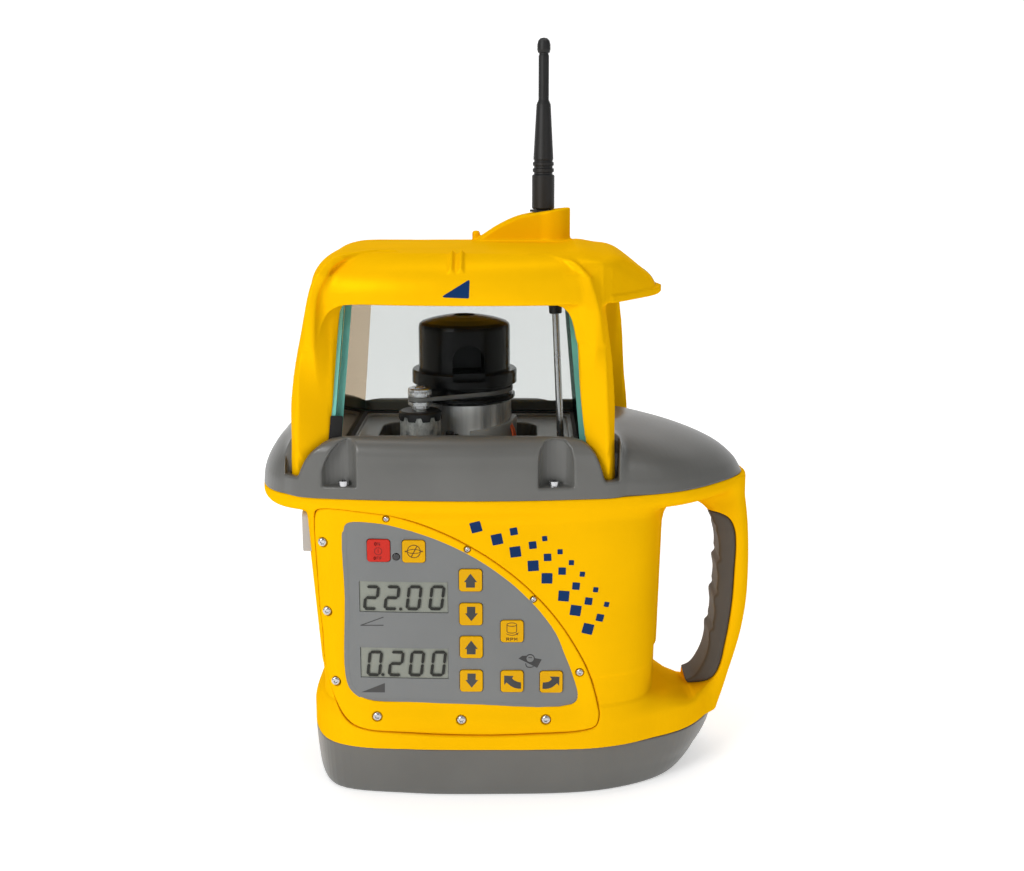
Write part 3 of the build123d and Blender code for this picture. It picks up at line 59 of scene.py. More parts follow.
# ------------------------------------------------------------------ shapes, in millimetres
FRONT_Y, FRONT_X0, FRONT_R = -76.5, 8.5, 1000.0
Z_BASE, Z_SEAM, Z_DECK = 32.0, 190.5, 215.0
WALL = 4.0
BEZEL = [(-87.3, 179.5), (-84.0, 183.0), (-47.4, 181.1), (-37.6, 179.1), (-18.0, 172.6),
         (1.6, 163.4), (21.2, 151.1), (40.9, 134.6), (59.0, 113.8), (73.1, 90.7),
         (78.7, 77.4), (82.8, 62.0), (84.2, 52.6), (82.1, 46.4), (73.3, 43.8),
         (44.1, 42.0), (11.2, 41.2), (-35.0, 42.4), (-62.3, 44.6), (-70.2, 48.3),
         (-76.1, 55.9), (-84.7, 78.9), (-85.8, 103.6), (-86.9, 115.0), (-87.8, 143.6)]
MEMBRANE = [(-69.5, 172.5), (-66.5, 175.4), (-47.5, 175.0), (-37.7, 172.9), (-18.1, 166.9),
            (1.6, 158.2), (21.2, 145.9), (41.0, 128.3), (57.1, 107.5), (63.2, 92.7),
            (67.1, 82.5), (71.2, 65.0), (67.3, 60.3), (5.2, 60.9), (-26.8, 61.8),
            (-57.9, 62.9), (-67.3, 69.1), (-70.4, 79.0), (-69.6, 127.7)]
FLANGE = [(-124.5, 0), (-121.8, -41), (-108.0, -63.0), (-73.2, -76.0), (0, -82.0),
          (74, -76.0), (131.8, -58.5), (162, -31.0), (174.4, -13.0), (177.5, 0)]
TUB = [(-97, 0), (-93.6, -42), (-80.0, -65.6), (-35, -75.6), (11, -76.7), (83.5, -71.8),
       (134.8, -49.5), (154.8, -25), (162.5, 0)]
SOLE = [(-90.5, 0), (-88.0, -35.5), (-76.5, -62.0), (-33, -71.2), (10.5, -72.6), (85.5, -66.6),
        (122.5, -47.0), (136.5, -24), (140.5, 0)]
HANDLE_OUT = [(177.2, 186.0), (178.6, 178.0), (181.0, 160.0), (182.1, 142.5), (182.4, 124.6), (181.7, 106.0),
              (179.3, 88.0), (176.2, 74.0), (172.3, 60.0), (167.8, 44.0), (163.0, 32.0)]
HANDLE_IN = [(119.0, 62.0), (128.0, 58.5), (136.0, 54.5), (143.0, 51.8), (149.0, 55.0), (154.8, 64.3), (158.6, 78.3),
             (161.4, 99.0), (162.6, 123.0), (162.8, 140.0), (161.6, 152.0), (157.6, 163.0),
             (151.5, 170.5), (143.0, 174.0), (131.0, 171.5), (119.0, 167.5)]
GRIP_LINE = [(155.8, 167.2), (162.6, 165.9), (168.6, 162.3), (172.3, 155.0), (173.4, 144.5), (173.0, 127.8),
             (172.2, 107.6), (170.4, 90.6), (168.2, 77.0), (166.0, 65.2), (163.0, 57.5), (158.5, 53.0),
             (152.0, 51.2), (145.0, 50.4)]
SCALLOPS = [(143.5, 52.1), (149.0, 55.0), (154.2, 63.2), (156.9, 70.5), (158.2, 78.3), (158.2, 85.2), (160.6, 92.0),
            (161.2, 99.0), (160.4, 108.0), (162.2, 115.5), (162.6, 123.0), (161.4, 131.5), (162.8, 138.0),
            (162.6, 145.0), (161.0, 152.0), (157.8, 161.5), (155.6, 166.6)]
HANDLE_HALF = 17.0
KEYS = {
    "key_power": (-48.9, 158.1),
    "key_mode": (-27.8, 157.9),
    "key_grade_up": (6.0, 140.2),
    "key_grade_down": (6.1, 118.9),
    "key_cross_up": (6.2, 98.0),
    "key_cross_down": (6.1, 76.4),
    "key_speed": (30.8, 108.1),
    "key_turn_left": (30.8, 76.1),
    "key_turn_right": (54.6, 75.5),
}
KEY = 13.8
LCDS = [(-34.4, 129.0), (-34.6, 87.0)]
LCD_W, LCD_H = 53.6, 19.4
POCKETS = [(-71.5, -1), (57.0, -1), (-71.5, 1), (57.0, 1)]
DOME = [(190.5, 124.5, 177.5, 82.0), (201.0, 123.0, 170.8, 82.3), (212.0, 118.0, 156.0, 81.3),
        (221.0, 110.5, 133.0, 78.0), (228.0, 98.0, 104.0, 68.6)]
HUMP = [(-104, 0), (-104, -50), (-102.6, -65.6), (-97.0, -72.4), (-88.0, -75.8), (-73.2, -78.2), (-38, -80.6), (0, -81.8),
        (38, -80.6), (74, -77.2), (89.0, -75.2), (96.0, -70.0), (98, -54), (98, 0)]
DOME_IN = [(189.5, 121.0, 173.6, 78.6), (199.5, 119.4, 166.6, 78.6), (209.5, 114.6, 152.0, 76.4),
           (218.0, 107.0, 129.0, 72.2), (224.6, 95.0, 100.0, 64.0)]
HOOD = [(-90, 0), (-88.4, -50), (-80.4, -70.6), (-71.0, -77.2), (-2, -88), (75, -77.0), (85.0, -52), (86, 0)]
SCREWS = [(-83.0, 161.6, 2.8), (-81.6, 117.6, 2.8), (-77.4, 72.6, 2.8), (-51.6, 52.8, 2.8), (-0.1, 51.2, 2.8),
          (51.5, 51.2, 2.8), (71.9, 81.5, 2.3), (43.75, 128.15, 1.75), (4.2, 159.4, 1.75), (-44.0, 177.8, 1.75)]
BEAK = [(70, 290.0), (122.7, 290.0), (122.7, 298.0), (122.7, 307.7), (120.8, 310.9), (116.3, 315.8), (110.0, 320.4),
        (103.7, 325.2), (97.4, 329.5), (91.1, 332.9), (84.8, 334.8), (70, 335.0)]
BEAK_IN = [(60, 304.0), (116.5, 304.0), (116.5, 308.6), (112.0, 313.0), (107.0, 316.8),
           (100.6, 321.6), (94.4, 325.6), (88.6, 328.4), (83.0, 330.0), (60, 330.0)]
BEAK_PLAN = [(70, -68), (83, -73), (106, -44), (117.5, -24), (121.6, -9), (122.7, 0), (121.6, 9), (117.5, 24),
             (106, 44), (83, 73), (70, 68)]
LEGS = [(-1, -1), (1, -1), (-1, 1), (1, 1)]
# plan of each leg at several heights: ridge, inner front, inner rear, outer rear
LEG_Z = (194.8, 210.0, 222.0, 250.0, 306.0, 322.0)
LEG_LEFT = [[(98.9, 64.2), (80.3, 62.4), (80.3, 56.5), (103.2, 57.5)],
            [(97.2, 69.6), (78.8, 65.4), (78.8, 56.5), (102.2, 59.6)],
            [(95.8, 76.6), (77.6, 68.2), (77.6, 56.3), (101.3, 60.8)],
            [(94.4, 77.2), (74.8, 67.0), (74.8, 54.4), (100.4, 60.5)],
            [(84.6, 78.0), (69.2, 65.6), (69.2, 51.0), (89.0, 60.0)],
            [(78.2, 78.0), (66.0, 65.6), (66.0, 51.0), (82.6, 60.0)]]
LEG_RIGHT = [[(89.6, 68.4), (77.0, 65.4), (77.0, 57.5), (93.2, 60.0)],
             [(88.4, 72.6), (75.4, 67.2), (75.4, 57.0), (92.6, 61.2)],
             [(87.4, 77.1), (74.1, 68.2), (74.1, 56.3), (92.0, 61.8)],
             [(86.6, 77.2), (71.0, 70.0), (71.0, 54.4), (91.6, 61.5)],
             [(79.4, 78.0), (66.6, 76.2), (66.6, 51.0), (84.6, 60.0)],
             [(74.6, 78.0), (63.0, 77.0), (63.0, 51.0), (79.0, 60.0)]]
LEG_REAR = [[(100.0, 70.0), (78.0, 66.0), (78.0, 57.5), (111.5, 60.0)],
            [(98.8, 73.4), (76.8, 67.2), (76.8, 56.8), (110.1, 60.8)],
            [(97.8, 76.3), (75.7, 68.4), (75.7, 56.3), (109.0, 61.5)],
            [(95.4, 76.6), (73.2, 67.0), (73.2, 54.4), (106.2, 61.0)],
            [(90.0, 77.0), (68.3, 75.0), (68.3, 51.0), (100.5, 60.0)],
            [(86.0, 77.0), (66.0, 76.0), (66.0, 51.0), (95.0, 60.0)]]
ANT_X, ANT_Y = 50.0, 46.0


def front_y(x):
    return FRONT_Y + (x - FRONT_X0) ** 2 / (2 * FRONT_R)


# ------------------------------------------------------------------ outlines
def span(a, b, c, d, n):
    """Curve from b to c that stays close to the corners of a, b, c, d."""
    ta = 0.0
    tb = ta + max(np.linalg.norm(b - a), 1e-6) ** 0.5
    tc = tb + max(np.linalg.norm(c - b), 1e-6) ** 0.5
    td = tc + max(np.linalg.norm(d - c), 1e-6) ** 0.5
    mb = (tc - tb) * ((b - a) / (tb - ta) - (c - a) / (tc - ta) + (c - b) / (tc - tb))
    mc = (tc - tb) * ((c - b) / (tc - tb) - (d - b) / (td - tb) + (d - c) / (td - tc))
    out = []
    for k in range(n):
        t = k / n
        out.append((2 * t ** 3 - 3 * t ** 2 + 1) * b + (t ** 3 - 2 * t ** 2 + t) * mb
                   + (3 * t ** 2 - 2 * t ** 3) * c + (t ** 3 - t ** 2) * mc)
    return out


def smooth_loop(loop, n=7):
    """Closed curve through the points of loop."""
    m = len(loop)
    p = [np.array(q, float) for q in loop]
    out = []
    for i in range(m):
        out += span(p[i - 1], p[i], p[(i + 1) % m], p[(i + 2) % m], n)
    return np.array(out)


def smooth_line(pts, n=7):
    """Open curve through the points."""
    p = [np.array(q, float) for q in pts]
    p = [2 * p[0] - p[1]] + p + [2 * p[-1] - p[-2]]
    out = []
    for i in range(1, len(p) - 2):
        out += span(p[i - 1], p[i], p[i + 1], p[i + 2], n)
    out.append(p[-2])
    return np.array(out)


def both_halves(half, n=7):
    back = [(x, -y) for x, y in reversed(half)]
    return smooth_loop(list(half) + back[1:-1], n)


def core_half(z, t=0.0):
    s = (z - 32.0) / 158.5
    xl = -87.5 + s * (-99.8 + 87.5)
    xr = 121.0 + s * 4.0
    a, b = xl + 27.0, xr - 38.0
    return [(xl + t, 0), (xl + t + 0.9, -30 + 0.5 * t), (xl + t + 3.8, -52.0 + t), (xl + t + 11.0, -66.0 + t),
            (a, front_y(a) + t), (-30.0, front_y(-30.0) + t), (FRONT_X0, FRONT_Y + t), (46.0, front_y(46.0) + t),
            (b, front_y(b) + t), (xr - t - 14.5, -63.5 + t), (xr - t - 4.6, -48.0 + t), (xr - t - 0.8, -25 + 0.5 * t),
            (xr - t, 0)]


# ------------------------------------------------------------------ distance fields
class Grid:
    def __init__(self, lo, hi, h):
        self.h = h
        self.lo = np.array(lo, float)
        self.x, self.y, self.z = [(a + h * np.arange(int(math.ceil((b - a) / h)) + 1)).astype(np.float32)
                                  for a, b in zip(lo, hi)]
        self.X, self.Y, self.Z = self.x[:, None, None], self.y[None, :, None], self.z[None, None, :]
        self.shape = (len(self.x), len(self.y), len(self.z))


def outline_field(u, v, loop):
    """Signed distance to a closed outline, negative inside, on the grid of u by v."""
    U, V = np.meshgrid(u, v, indexing="ij")
    d2 = np.full(U.shape, 1e12, np.float32)
    inside = np.zeros(U.shape, bool)
    pts = np.asarray(loop, np.float32)
    for (ax, ay), (bx, by) in zip(pts, np.roll(pts, -1, axis=0)):
        ex, ey = bx - ax, by - ay
        wx, wy = U - ax, V - ay
        t = np.clip((wx * ex + wy * ey) / max(ex * ex + ey * ey, 1e-9), 0, 1)
        d2 = np.minimum(d2, (wx - t * ex) ** 2 + (wy - t * ey) ** 2)
        if ay != by:
            inside ^= ((ay <= V) != (by <= V)) & (U < ax + (V - ay) * (ex / ey))
    d = np.sqrt(d2)
    return np.where(inside, -d, d)


def plan(g, loop):
    return outline_field(g.x, g.y, loop)[:, :, None]


def elevation(g, loop):
    return outline_field(g.x, g.z, loop)[:, None, :]


def stack(g, levels):
    """Field of a body given by plan outlines at several heights, with a smooth change between them."""
    zs = np.array([lv[0] for lv in levels], float)
    fs = [outline_field(g.x, g.y, lv[1]) for lv in levels]
    out = np.empty(g.shape, np.float32)
    n = len(zs)
    for k, z in enumerate(g.z):
        i = int(np.clip(np.searchsorted(zs, z) - 1, 0, n - 2))
        t = float(np.clip((z - zs[i]) / (zs[i + 1] - zs[i]), 0, 1))
        span = zs[i + 1] - zs[i]
        b, c = fs[i], fs[i + 1]
        tb = (c - b) if i == 0 else 0.5 * ((c - b) + (b - fs[i - 1]) * (span / (zs[i] - zs[i - 1])))
        tc = (c - b) if i + 2 >= n else 0.5 * ((c - b) + (fs[i + 2] - c) * (span / (zs[i + 2] - zs[i + 1])))
        out[:, :, k] = ((2 * t ** 3 - 3 * t ** 2 + 1) * b + (t ** 3 - 2 * t ** 2 + t) * tb
                        + (3 * t ** 2 - 2 * t ** 3) * c + (t ** 3 - t ** 2) * tc)
    return out


def join(a, b, k):
    """Union with a fillet of about k."""
    h = np.clip(0.5 + 0.5 * (b - a) / k, 0, 1)
    return b + (a - b) * h - k * h * (1 - h)


def meet(a, b, k):
    """Intersection with a rounded edge of about k."""
    h = np.clip(0.5 - 0.5 * (b - a) / k, 0, 1)
    return b + (a - b) * h + k * h * (1 - h)


def cut(a, b, k):
    """a without b, the new edge rounded by about k."""
    return meet(a, -b, k)


def slab_y(g, f, y0, y1, r):
    a = f + r
    b = np.maximum(y0 - g.Y, g.Y - y1) + r
    return np.minimum(np.maximum(a, b), 0) + np.sqrt(np.maximum(a, 0) ** 2 + np.maximum(b, 0) ** 2) - r


def slab_z(g, f, z0, z1, r):
    a = f + r
    b = np.maximum(z0 - g.Z, g.Z - z1) + r
    return np.minimum(np.maximum(a, b), 0) + np.sqrt(np.maximum(a, 0) ** 2 + np.maximum(b, 0) ** 2) - r


def rounded_rect(cx, cy, w, h, r, n=6):
    pts = []
    for sx, sy, a0 in ((1, 1, 0), (-1, 1, 90), (-1, -1, 180), (1, -1, 270)):
        for k in range(n + 1):
            a = math.radians(a0 + 90 * k / n)
            pts.append((cx + sx * (w / 2 - r) + r * math.cos(a), cy + sy * (h / 2 - r) + r * math.sin(a)))
    return pts


def cyl_y(g, x, z, r):
    return np.sqrt((g.X - x) ** 2 + (g.Z - z) ** 2) - r


def cyl_z(g, x, y, r):
    return np.sqrt((g.X - x) ** 2 + (g.Y - y) ** 2) - r


# ------------------------------------------------------------------ surface of a field
CORNERS = [(i, j, k) for i in (0, 1) for j in (0, 1) for k in (0, 1)]
EDGES = [(a, b) for a in range(8) for b in range(a + 1, 8)
         if sum(abs(p - q) for p, q in zip(CORNERS[a], CORNERS[b])) == 1]


def field_at(F, g, p):
    """Value and gradient of the field at points p (mm)."""
    q = (p - g.lo) / g.h
    top = np.array(F.shape) - 2
    i = np.clip(np.floor(q).astype(int), 0, top)
    t = q - i
    c = [F[i[:, 0] + a, i[:, 1] + b, i[:, 2] + d].astype(float) for a, b, d in CORNERS]
    tx, ty, tz = t[:, 0], t[:, 1], t[:, 2]
    x00, x01 = c[0] + (c[4] - c[0]) * tx, c[1] + (c[5] - c[1]) * tx
    x10, x11 = c[2] + (c[6] - c[2]) * tx, c[3] + (c[7] - c[3]) * tx
    y0, y1 = x00 + (x10 - x00) * ty, x01 + (x11 - x01) * ty
    val = y0 + (y1 - y0) * tz
    gx = (((c[4] - c[0]) * (1 - ty) + (c[6] - c[2]) * ty) * (1 - tz)
          + ((c[5] - c[1]) * (1 - ty) + (c[7] - c[3]) * ty) * tz) / g.h
    gy = ((x10 - x00) * (1 - tz) + (x11 - x01) * tz) / g.h
    gz = (y1 - y0) / g.h
    return val, np.stack([gx, gy, gz], 1)


def smooth_gradient(F, g, p):
    """Gradient from central differences one cell away, which reads smoother than the cell's own."""
    e = g.h * 0.75
    out = np.empty_like(p)
    for a in range(3):
        d = np.zeros(3)
        d[a] = e
        out[:, a] = field_at(F, g, p + d)[0] - field_at(F, g, p - d)[0]
    n = np.linalg.norm(out, axis=1, keepdims=True)
    return out / np.maximum(n, 1e-9)


def surface(F, g):
    """Quads of the zero surface, one vertex in each cell it crosses, moved onto the surface."""
    s = F < 0
    n = [m - 1 for m in F.shape]
    count = np.zeros(n, np.int8)
    for a, b, d in CORNERS:
        count += s[a:a + n[0], b:b + n[1], d:d + n[2]]
    active = (count > 0) & (count < 8)
    cells = np.argwhere(active)
    index = np.full(n, -1, np.int32)
    index[active] = np.arange(len(cells))
    vals = np.stack([F[cells[:, 0] + a, cells[:, 1] + b, cells[:, 2] + d] for a, b, d in CORNERS], 1)
    total = np.zeros((len(cells), 3))
    number = np.zeros(len(cells))
    for a, b in EDGES:
        fa, fb = vals[:, a], vals[:, b]
        hit = (fa < 0) != (fb < 0)
        t = np.where(hit, fa / np.where(hit, fa - fb, 1), 0)
        pa, pb = np.array(CORNERS[a], float), np.array(CORNERS[b], float)
        total += np.where(hit[:, None], pa + (pb - pa) * t[:, None], 0)
        number += hit
    verts = (cells + total / number[:, None]) * g.h + g.lo
    quads = []
    for axis in range(3):
        lo = [slice(1, m) for m in n]
        lo[axis] = slice(0, n[axis])
        hi = list(lo)
        hi[axis] = slice(1, n[axis] + 1)
        sa, sb = s[tuple(lo)], s[tuple(hi)]
        change = np.argwhere(sa != sb)
        flip = sb[tuple(change.T)]
        base = change.copy()
        u, v = [k for k in range(3) if k != axis]
        base[:, u] += 1
        base[:, v] += 1
        ring = []
        for du, dv in ((-1, -1), (0, -1), (0, 0), (-1, 0)):
            c = base.copy()
            c[:, u] += du
            c[:, v] += dv
            ring.append(index[tuple(c.T)])
        q = np.stack(ring, 1)
        turn = flip if axis != 1 else ~flip
        q[turn] = q[turn][:, ::-1]
        quads.append(q)
    quads = np.concatenate(quads)
    for _ in range(4):
        val, grad = field_at(F, g, verts)
        step = val / np.maximum((grad ** 2).sum(1), 0.05)
        verts -= np.clip(step, -0.4 * g.h, 0.4 * g.h)[:, None] * grad
    return verts, quads


def new_object(name, verts, faces, mats, body, smooth=True):
    me = bpy.data.meshes.new(name)
    me.from_pydata([tuple(v) for v in np.asarray(verts, float) * MM], [], [tuple(int(i) for i in f) for f in faces])
    me.validate()
    ob = bpy.data.objects.new(name, me)
    bpy.context.scene.collection.objects.link(ob)
    for m in mats if isinstance(mats, (list, tuple)) else [mats]:
        me.materials.append(m)
    if smooth:
        me.polygons.foreach_set("use_smooth", [True] * len(me.polygons))
    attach(ob, body)
    return ob


def thin_out(me, share):
    """The same mesh with only about this share of its faces."""
    ob = bpy.data.objects.new("thin", me)
    bpy.context.scene.collection.objects.link(ob)
    m = ob.modifiers.new("d", "DECIMATE")
    m.ratio = share
    dg = bpy.context.evaluated_depsgraph_get()
    out = bpy.data.meshes.new_from_object(ob.evaluated_get(dg))
    bpy.data.objects.remove(ob)
    return out


def shell(name, F, g, mats, body, share=0.35):
    """Object for the zero surface of a field, shaded with the field's own normals."""
    verts, quads = surface(F, g)
    me = bpy.data.meshes.new(name)
    me.vertices.add(len(verts))
    me.vertices.foreach_set("co", (verts * MM).astype(np.float32).ravel())
    me.loops.add(len(quads) * 4)
    me.loops.foreach_set("vertex_index", quads.astype(np.int32).ravel())
    me.polygons.add(len(quads))
    me.polygons.foreach_set("loop_start", np.arange(0, len(quads) * 4, 4, dtype=np.int32))
    me.update(calc_edges=True)
    me.validate()
    if share < 1:
        me = thin_out(me, share)
        me.name = name
    for m in mats if isinstance(mats, (list, tuple)) else [mats]:
        me.materials.append(m)
    co = np.empty(len(me.vertices) * 3, np.float32)
    me.vertices.foreach_get("co", co)
    nor = smooth_gradient(F, g, co.reshape(-1, 3).astype(float) / MM)
    me.polygons.foreach_set("use_smooth", np.ones(len(me.polygons), bool))
    me.normals_split_custom_set_from_vertices([tuple(v) for v in nor])
    ob = bpy.data.objects.new(name, me)
    bpy.context.scene.collection.objects.link(ob)
    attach(ob, body)
    print("shell", name, len(quads), len(me.polygons))
    return ob


# ------------------------------------------------------------------ materials
def srgb(r, g, b):
    def one(c):
        c /= 255.0
        return c / 12.92 if c <= 0.04045 else ((c + 0.055) / 1.055) ** 2.4
    return (one(r), one(g), one(b), 1.0)


def material(name):
    m = bpy.data.materials.new(name)
    m.use_nodes = True
    nt = m.node_tree
    nt.nodes.clear()
    out = nt.nodes.new("ShaderNodeOutputMaterial")
    p = nt.nodes.new("ShaderNodeBsdfPrincipled")
    nt.links.new(p.outputs[0], out.inputs["Surface"])
    tc = nt.nodes.new("ShaderNodeTexCoord")
    return m, nt, p, tc


def noise(nt, tc, scale, detail=2.0, rough=0.5):
    n = nt.nodes.new("ShaderNodeTexNoise")
    n.inputs["Scale"].default_value = scale
    n.inputs["Detail"].default_value = detail
    n.inputs["Roughness"].default_value = rough
    nt.links.new(tc.outputs["Object"], n.inputs["Vector"])
    return n


def ramp(nt, fac, stops):
    r = nt.nodes.new("ShaderNodeValToRGB")
    while len(r.color_ramp.elements) < len(stops):
        r.color_ramp.elements.new(0.5)
    for e, (pos, col) in zip(r.color_ramp.elements, stops):
        e.position = pos
        e.color = col if len(col) == 4 else (*col, 1.0)
    nt.links.new(fac, r.inputs["Fac"])
    return r


def bump(nt, height, strength, distance, p):
    b = nt.nodes.new("ShaderNodeBump")
    b.inputs["Strength"].default_value = strength
    b.inputs["Distance"].default_value = distance
    nt.links.new(height, b.inputs["Height"])
    nt.links.new(b.outputs["Normal"], p.inputs["Normal"])
    return b


def moulded(name, col_a, col_b, rough, grain, grain_size, spec=0.5, coat=0.0):
    """Moulded plastic: slight colour drift, fine grained skin, uneven gloss."""
    m, nt, p, tc = material(name)
    big = noise(nt, tc, 22.0, 3.0)
    c = ramp(nt, big.outputs["Fac"], [(0.3, col_a), (0.7, col_b)])
    nt.links.new(c.outputs["Color"], p.inputs["Base Color"])
    fine = noise(nt, tc, grain_size, 2.0, 0.6)
    r = ramp(nt, fine.outputs["Fac"], [(0.3, (rough - 0.05,) * 3), (0.7, (rough + 0.05,) * 3)])
    nt.links.new(r.outputs["Color"], p.inputs["Roughness"])
    bump(nt, fine.outputs["Fac"], grain, 0.0002, p)
    p.inputs["Specular IOR Level"].default_value = spec
    p.inputs["Coat Weight"].default_value = coat
    return m


def mix4(a, f):
    return (a[0] * f, a[1] * f, a[2] * f, 1.0)


YEL = srgb(244, 185, 6)
yellow = moulded("yellow_plastic", mix4(YEL, 0.97), mix4(YEL, 1.03), 0.4, 0.05, 2600.0, 0.0)
skin = yellow.node_tree.nodes["Principled BSDF"]
skin.inputs["Metallic"].default_value = 0.12
skin.inputs["Specular Tint"].default_value = srgb(250, 205, 70)
GRY = srgb(96, 96, 93)
gray = moulded("gray_plastic", mix4(GRY, 0.93), mix4(GRY, 1.07), 0.34, 0.16, 1500.0, 0.5)
RUB = srgb(76, 70, 63)
grip_mat = moulded("grip_rubber", mix4(RUB, 0.85), mix4(RUB, 1.1), 0.62, 0.25, 1900.0, 0.35)
BLK = srgb(24, 24, 25)
black = moulded("black_plastic", mix4(BLK, 0.8), mix4(BLK, 1.2), 0.42, 0.12, 1800.0, 0.5)
seal_mat = moulded("seal_rubber", srgb(18, 18, 18), srgb(30, 30, 30), 0.7, 0.2, 1800.0, 0.3)
antenna_mat = moulded("antenna_rubber", srgb(14, 14, 15), srgb(24, 24, 25), 0.48, 0.16, 2200.0, 0.45)
rotor_mat = moulded("rotor_gloss", srgb(5, 5, 6), srgb(9, 9, 10), 0.2, 0.03, 1500.0, 0.15)
belt_mat = moulded("belt_rubber", srgb(92, 92, 91), srgb(116, 116, 114), 0.6, 0.25, 1800.0, 0.3)
PAN = srgb(119, 121, 121)
panel_mat = moulded("panel_film", mix4(PAN, 0.96), mix4(PAN, 1.04), 0.44, 0.08, 3200.0, 0.3)
KYL = srgb(222, 166, 5)
key_mat = moulded("key_yellow", mix4(KYL, 0.96), mix4(KYL, 1.03), 0.42, 0.08, 3200.0, 0.1)
KRD = srgb(200, 50, 40)
key_red = moulded("key_red", mix4(KRD, 0.95), mix4(KRD, 1.03), 0.42, 0.08, 3200.0, 0.1)
board_mat = moulded("board_green", srgb(10, 70, 38), srgb(20, 92, 52), 0.4, 0.15, 900.0)
cell_mat = moulded("cell_wrap", srgb(30, 70, 140), srgb(44, 92, 168), 0.3, 0.03, 800.0)
ink = moulded("dark_ink", srgb(58, 58, 58), srgb(74, 74, 74), 0.55, 0.05, 3000.0, 0.3)
red_ink = moulded("deep_red_ink", srgb(130, 26, 22), srgb(150, 34, 28), 0.5, 0.05, 3000.0, 0.3)
blue_ink = moulded("blue_ink", srgb(0, 40, 88), srgb(2, 48, 98), 0.45, 0.06, 3000.0, 0.15)
brown_ink = moulded("brown_ink", srgb(98, 66, 14), srgb(112, 78, 20), 0.5, 0.05, 3000.0, 0.3)
lcd_ink = moulded("display_ink", srgb(28, 29, 25), srgb(40, 41, 36), 0.5, 0.02, 3000.0, 0.3)


def turned(name, col, rough, ring_scale, aniso=0.4):
    """Machined metal with fine tool rings."""
    m, nt, p, tc = material(name)
    p.inputs["Metallic"].default_value = 1.0
    w = nt.nodes.new("ShaderNodeTexWave")
    w.wave_type = "BANDS"
    w.bands_direction = "Z"
    w.inputs["Scale"].default_value = ring_scale
    w.inputs["Distortion"].default_value = 0.4
    w.inputs["Detail"].default_value = 2.0
    nt.links.new(tc.outputs["Object"], w.inputs["Vector"])
    c = ramp(nt, w.outputs["Fac"], [(0.0, mix4(col, 0.92)), (1.0, mix4(col, 1.05))])
    nt.links.new(c.outputs["Color"], p.inputs["Base Color"])
    n = noise(nt, tc, 140.0, 3.0)
    r = ramp(nt, n.outputs["Fac"], [(0.3, (rough * 0.8,) * 3), (0.7, (rough * 1.25,) * 3)])
    nt.links.new(r.outputs["Color"], p.inputs["Roughness"])
    bump(nt, w.outputs["Fac"], 0.05, 0.0001, p)
    p.inputs["Anisotropic"].default_value = aniso
    return m


def streaked(name, dark, light, rough, metallic, stretch, grain):
    """Bright metal skin with streaks or mottling, stretched along the axes."""
    m, nt, p, tc = material(name)
    mp = nt.nodes.new("ShaderNodeMapping")
    mp.inputs["Scale"].default_value = stretch
    nt.links.new(tc.outputs["Object"], mp.inputs["Vector"])
    n = nt.nodes.new("ShaderNodeTexNoise")
    n.inputs["Scale"].default_value = grain
    n.inputs["Detail"].default_value = 3.0
    nt.links.new(mp.outputs["Vector"], n.inputs["Vector"])
    c = ramp(nt, n.outputs["Fac"], [(0.34, dark), (0.52, mix4(light, 0.72)), (0.68, light)])
    nt.links.new(c.outputs["Color"], p.inputs["Base Color"])
    r = ramp(nt, n.outputs["Fac"], [(0.3, (rough * 1.2,) * 3), (0.7, (rough * 0.8,) * 3)])
    nt.links.new(r.outputs["Color"], p.inputs["Roughness"])
    p.inputs["Metallic"].default_value = metallic
    bump(nt, n.outputs["Fac"], 0.06, 0.0002, p)
    return m


steel = turned("steel", srgb(196, 196, 198), 0.24, 900.0)
alu = turned("aluminium", srgb(205, 206, 208), 0.26, 600.0)
brass = turned("brass", srgb(196, 164, 96), 0.28, 600.0)
cast = moulded("cast_metal", srgb(78, 80, 82), srgb(98, 100, 102), 0.5, 0.5, 700.0)
cast.node_tree.nodes["Principled BSDF"].inputs["Metallic"].default_value = 0.6


# ------------------------------------------------------------------ glass, displays
def pane_glass(name, tint, gloss, low, high):
    """Clear pane: tinted see-through with a surface gloss that grows toward grazing angles."""
    m, nt, p, tc = material(name)
    nt.nodes.remove(p)
    out = [n for n in nt.nodes if n.type == "OUTPUT_MATERIAL"][0]
    clear = nt.nodes.new("ShaderNodeBsdfTransparent")
    n = noise(nt, tc, 9.0, 2.0)
    c = ramp(nt, n.outputs["Fac"], [(0.3, mix4(tint, 0.995)), (0.7, mix4(tint, 1.0))])
    nt.links.new(c.outputs["Color"], clear.inputs["Color"])
    shine = nt.nodes.new("ShaderNodeBsdfGlossy")
    shine.inputs["Color"].default_value = gloss
    shine.inputs["Roughness"].default_value = 0.05
    lw = nt.nodes.new("ShaderNodeLayerWeight")
    lw.inputs["Blend"].default_value = 0.5
    f = ramp(nt, lw.outputs["Facing"], [(0.0, (low,) * 3), (0.62, (low * 1.6,) * 3), (0.9, (high,) * 3)])
    mix = nt.nodes.new("ShaderNodeMixShader")
    nt.links.new(f.outputs["Color"], mix.inputs["Fac"])
    nt.links.new(clear.outputs[0], mix.inputs[1])
    nt.links.new(shine.outputs[0], mix.inputs[2])
    nt.links.new(mix.outputs[0], out.inputs["Surface"])
    return m


